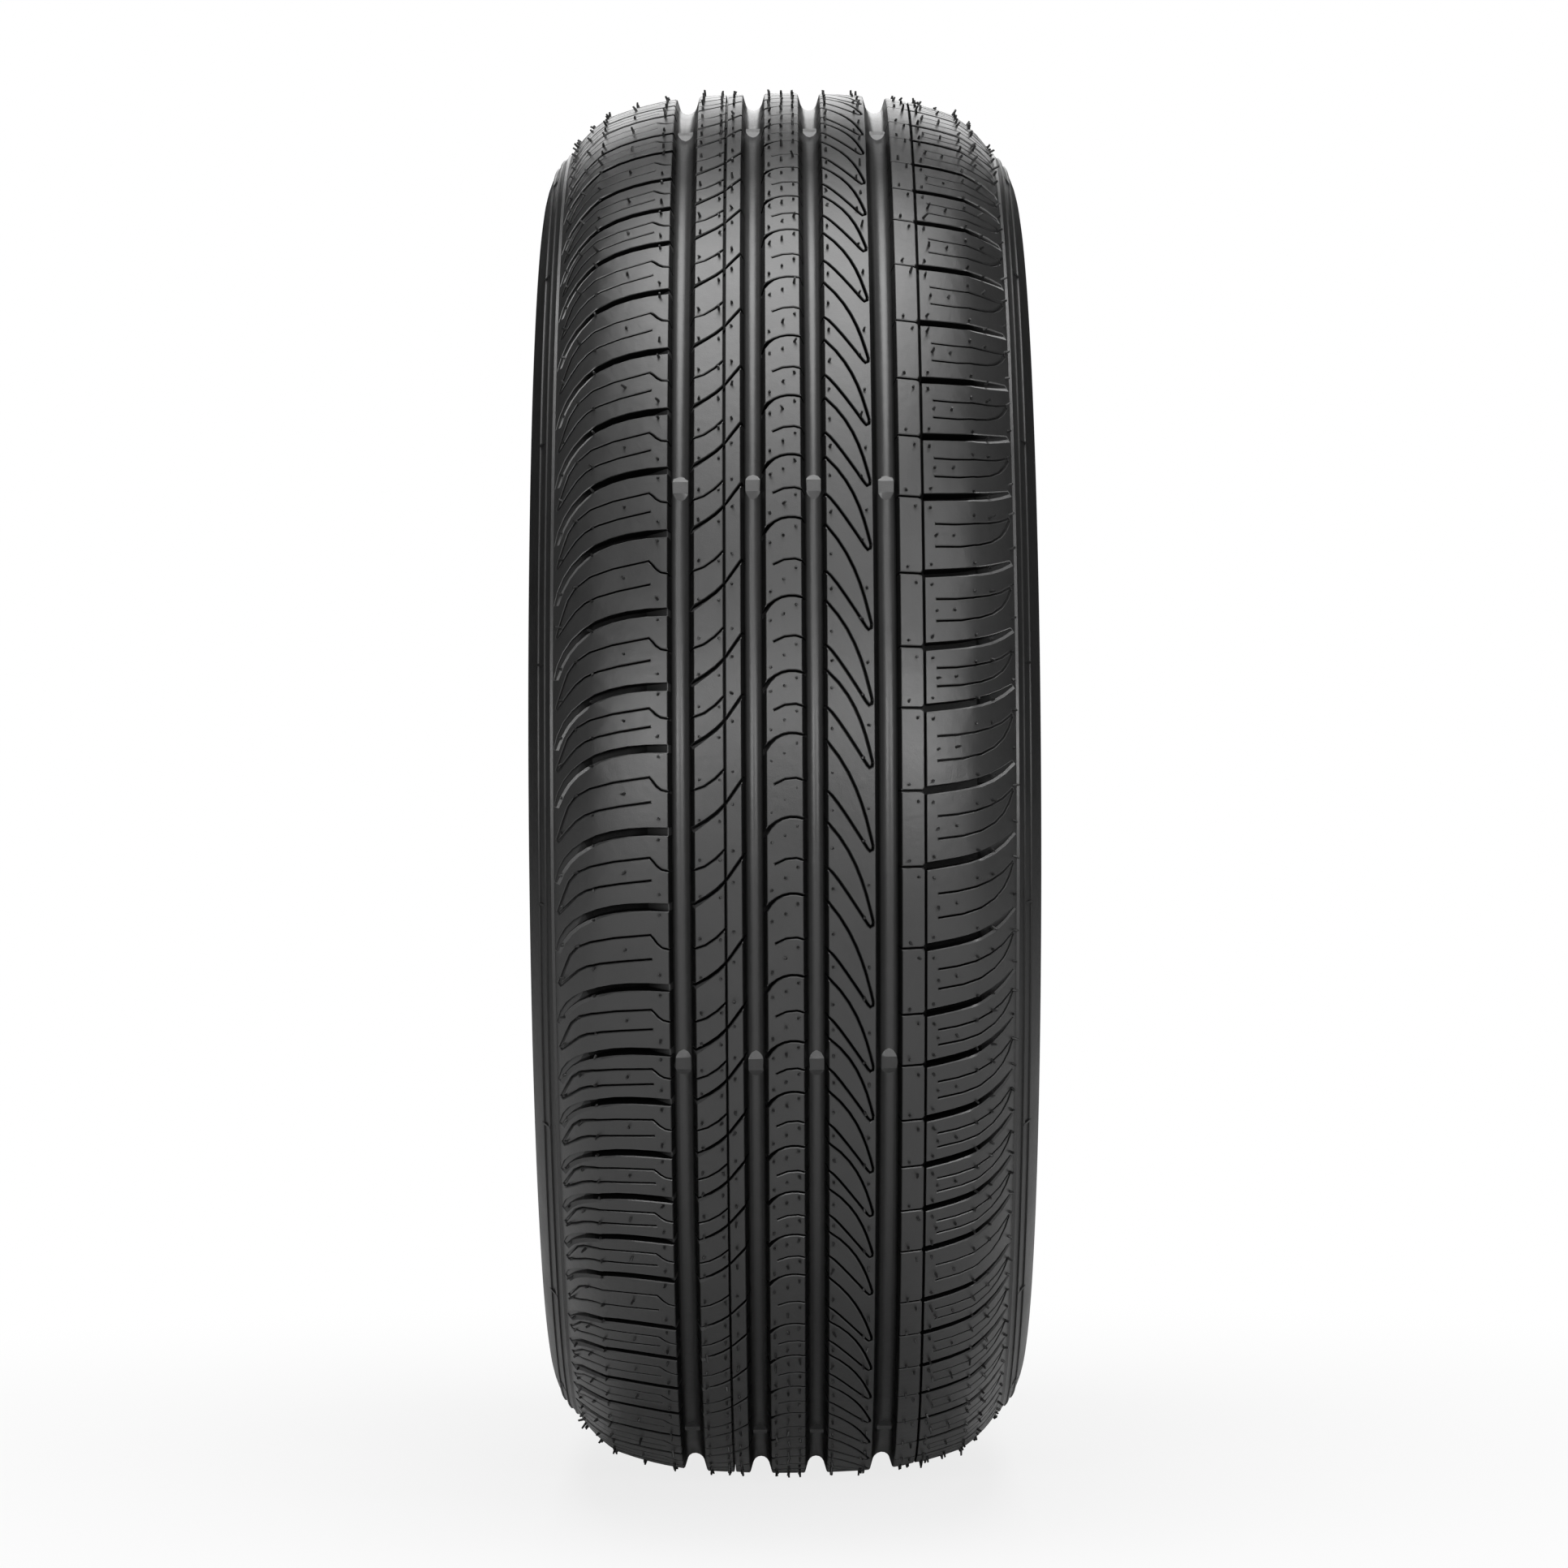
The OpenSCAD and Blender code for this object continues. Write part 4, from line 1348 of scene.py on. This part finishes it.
# %% [markdown]
# The photograph's light is a studio's. One large soft box overhead draws the broad sheen
# above the middle of the tread, two smaller ones between it and the camera carry that sheen
# down, and three just above the camera's height give the second, weaker one, the outer two
# on the shoulders. A fourth one, higher on the right, lights that shoulder alone, as in the
# photograph. Hardly anything comes from below, so the tread darkens towards the floor. The
# weak box behind the tyre hardly shows from the front; it lets the back be seen.


# %% Soft boxes and camera
def aim(thing, at):
    """Turn a lamp or a camera so that it looks at a point."""
    thing.rotation_euler = (Vector(at) - thing.location).to_track_quat("-Z", "Y").to_euler()


def soft_box(name, place, width, height, power):
    """A rectangular studio lamp that shines at the tyre."""
    lamp = bpy.data.lights.new(name, "AREA")
    lamp.shape = "RECTANGLE"
    lamp.size, lamp.size_y, lamp.energy = width, height, power
    box = bpy.data.objects.new(name, lamp)
    bpy.context.scene.collection.objects.link(box)
    box.location = place
    aim(box, (0, 0, 0))


soft_box("box_overhead", (0.25, 0.0, 2.2), 1.7, 1.5, 54.0)
soft_box("box_high", (1.3, 0.0, 1.9), 1.2, 1.0, 14.5)
soft_box("box_middle", (2.1, 0.0, 1.3), 1.0, 0.6, 4.5)
soft_box("box_front", (2.6, 0.0, 0.6), 1.1, 0.4, 12.0)
soft_box("box_left", (2.35, -0.95, 0.3), 0.6, 0.5, 17.0)
soft_box("box_right", (2.35, 0.95, 0.3), 0.6, 0.5, 19.0)
soft_box("box_right_high", (1.8, 1.1, 1.3), 0.6, 0.6, 7.0)
soft_box("box_back", (-2.2, 0.0, 1.3), 1.6, 1.0, 16.0)

frame_px, lens_px, shift_px = 1932, 6747, -1
camera_distance = 2.528
camera_roll = math.radians(-0.32)

eye = bpy.data.cameras.new("camera")
eye.sensor_width = 36.0
eye.lens = eye.sensor_width * lens_px / frame_px
eye.shift_x, eye.shift_y = shift_px / frame_px, shift_px / frame_px
camera = bpy.data.objects.new("camera", eye)
bpy.context.scene.collection.objects.link(camera)
camera.location = (axle[0] + camera_distance, axle[1], axle[2])
aim(camera, axle)
camera.rotation_euler.rotate_axis("Z", camera_roll)
bpy.context.scene.camera = camera
bpy.context.scene.view_settings.view_transform = "Standard"
print(f"The camera has a {eye.lens:.1f} mm lens")

# %% Keep both boxes and finish
low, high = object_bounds()
{"cad": [list(cad_low), list(cad_high)], "visual": [list(low), list(high)]}
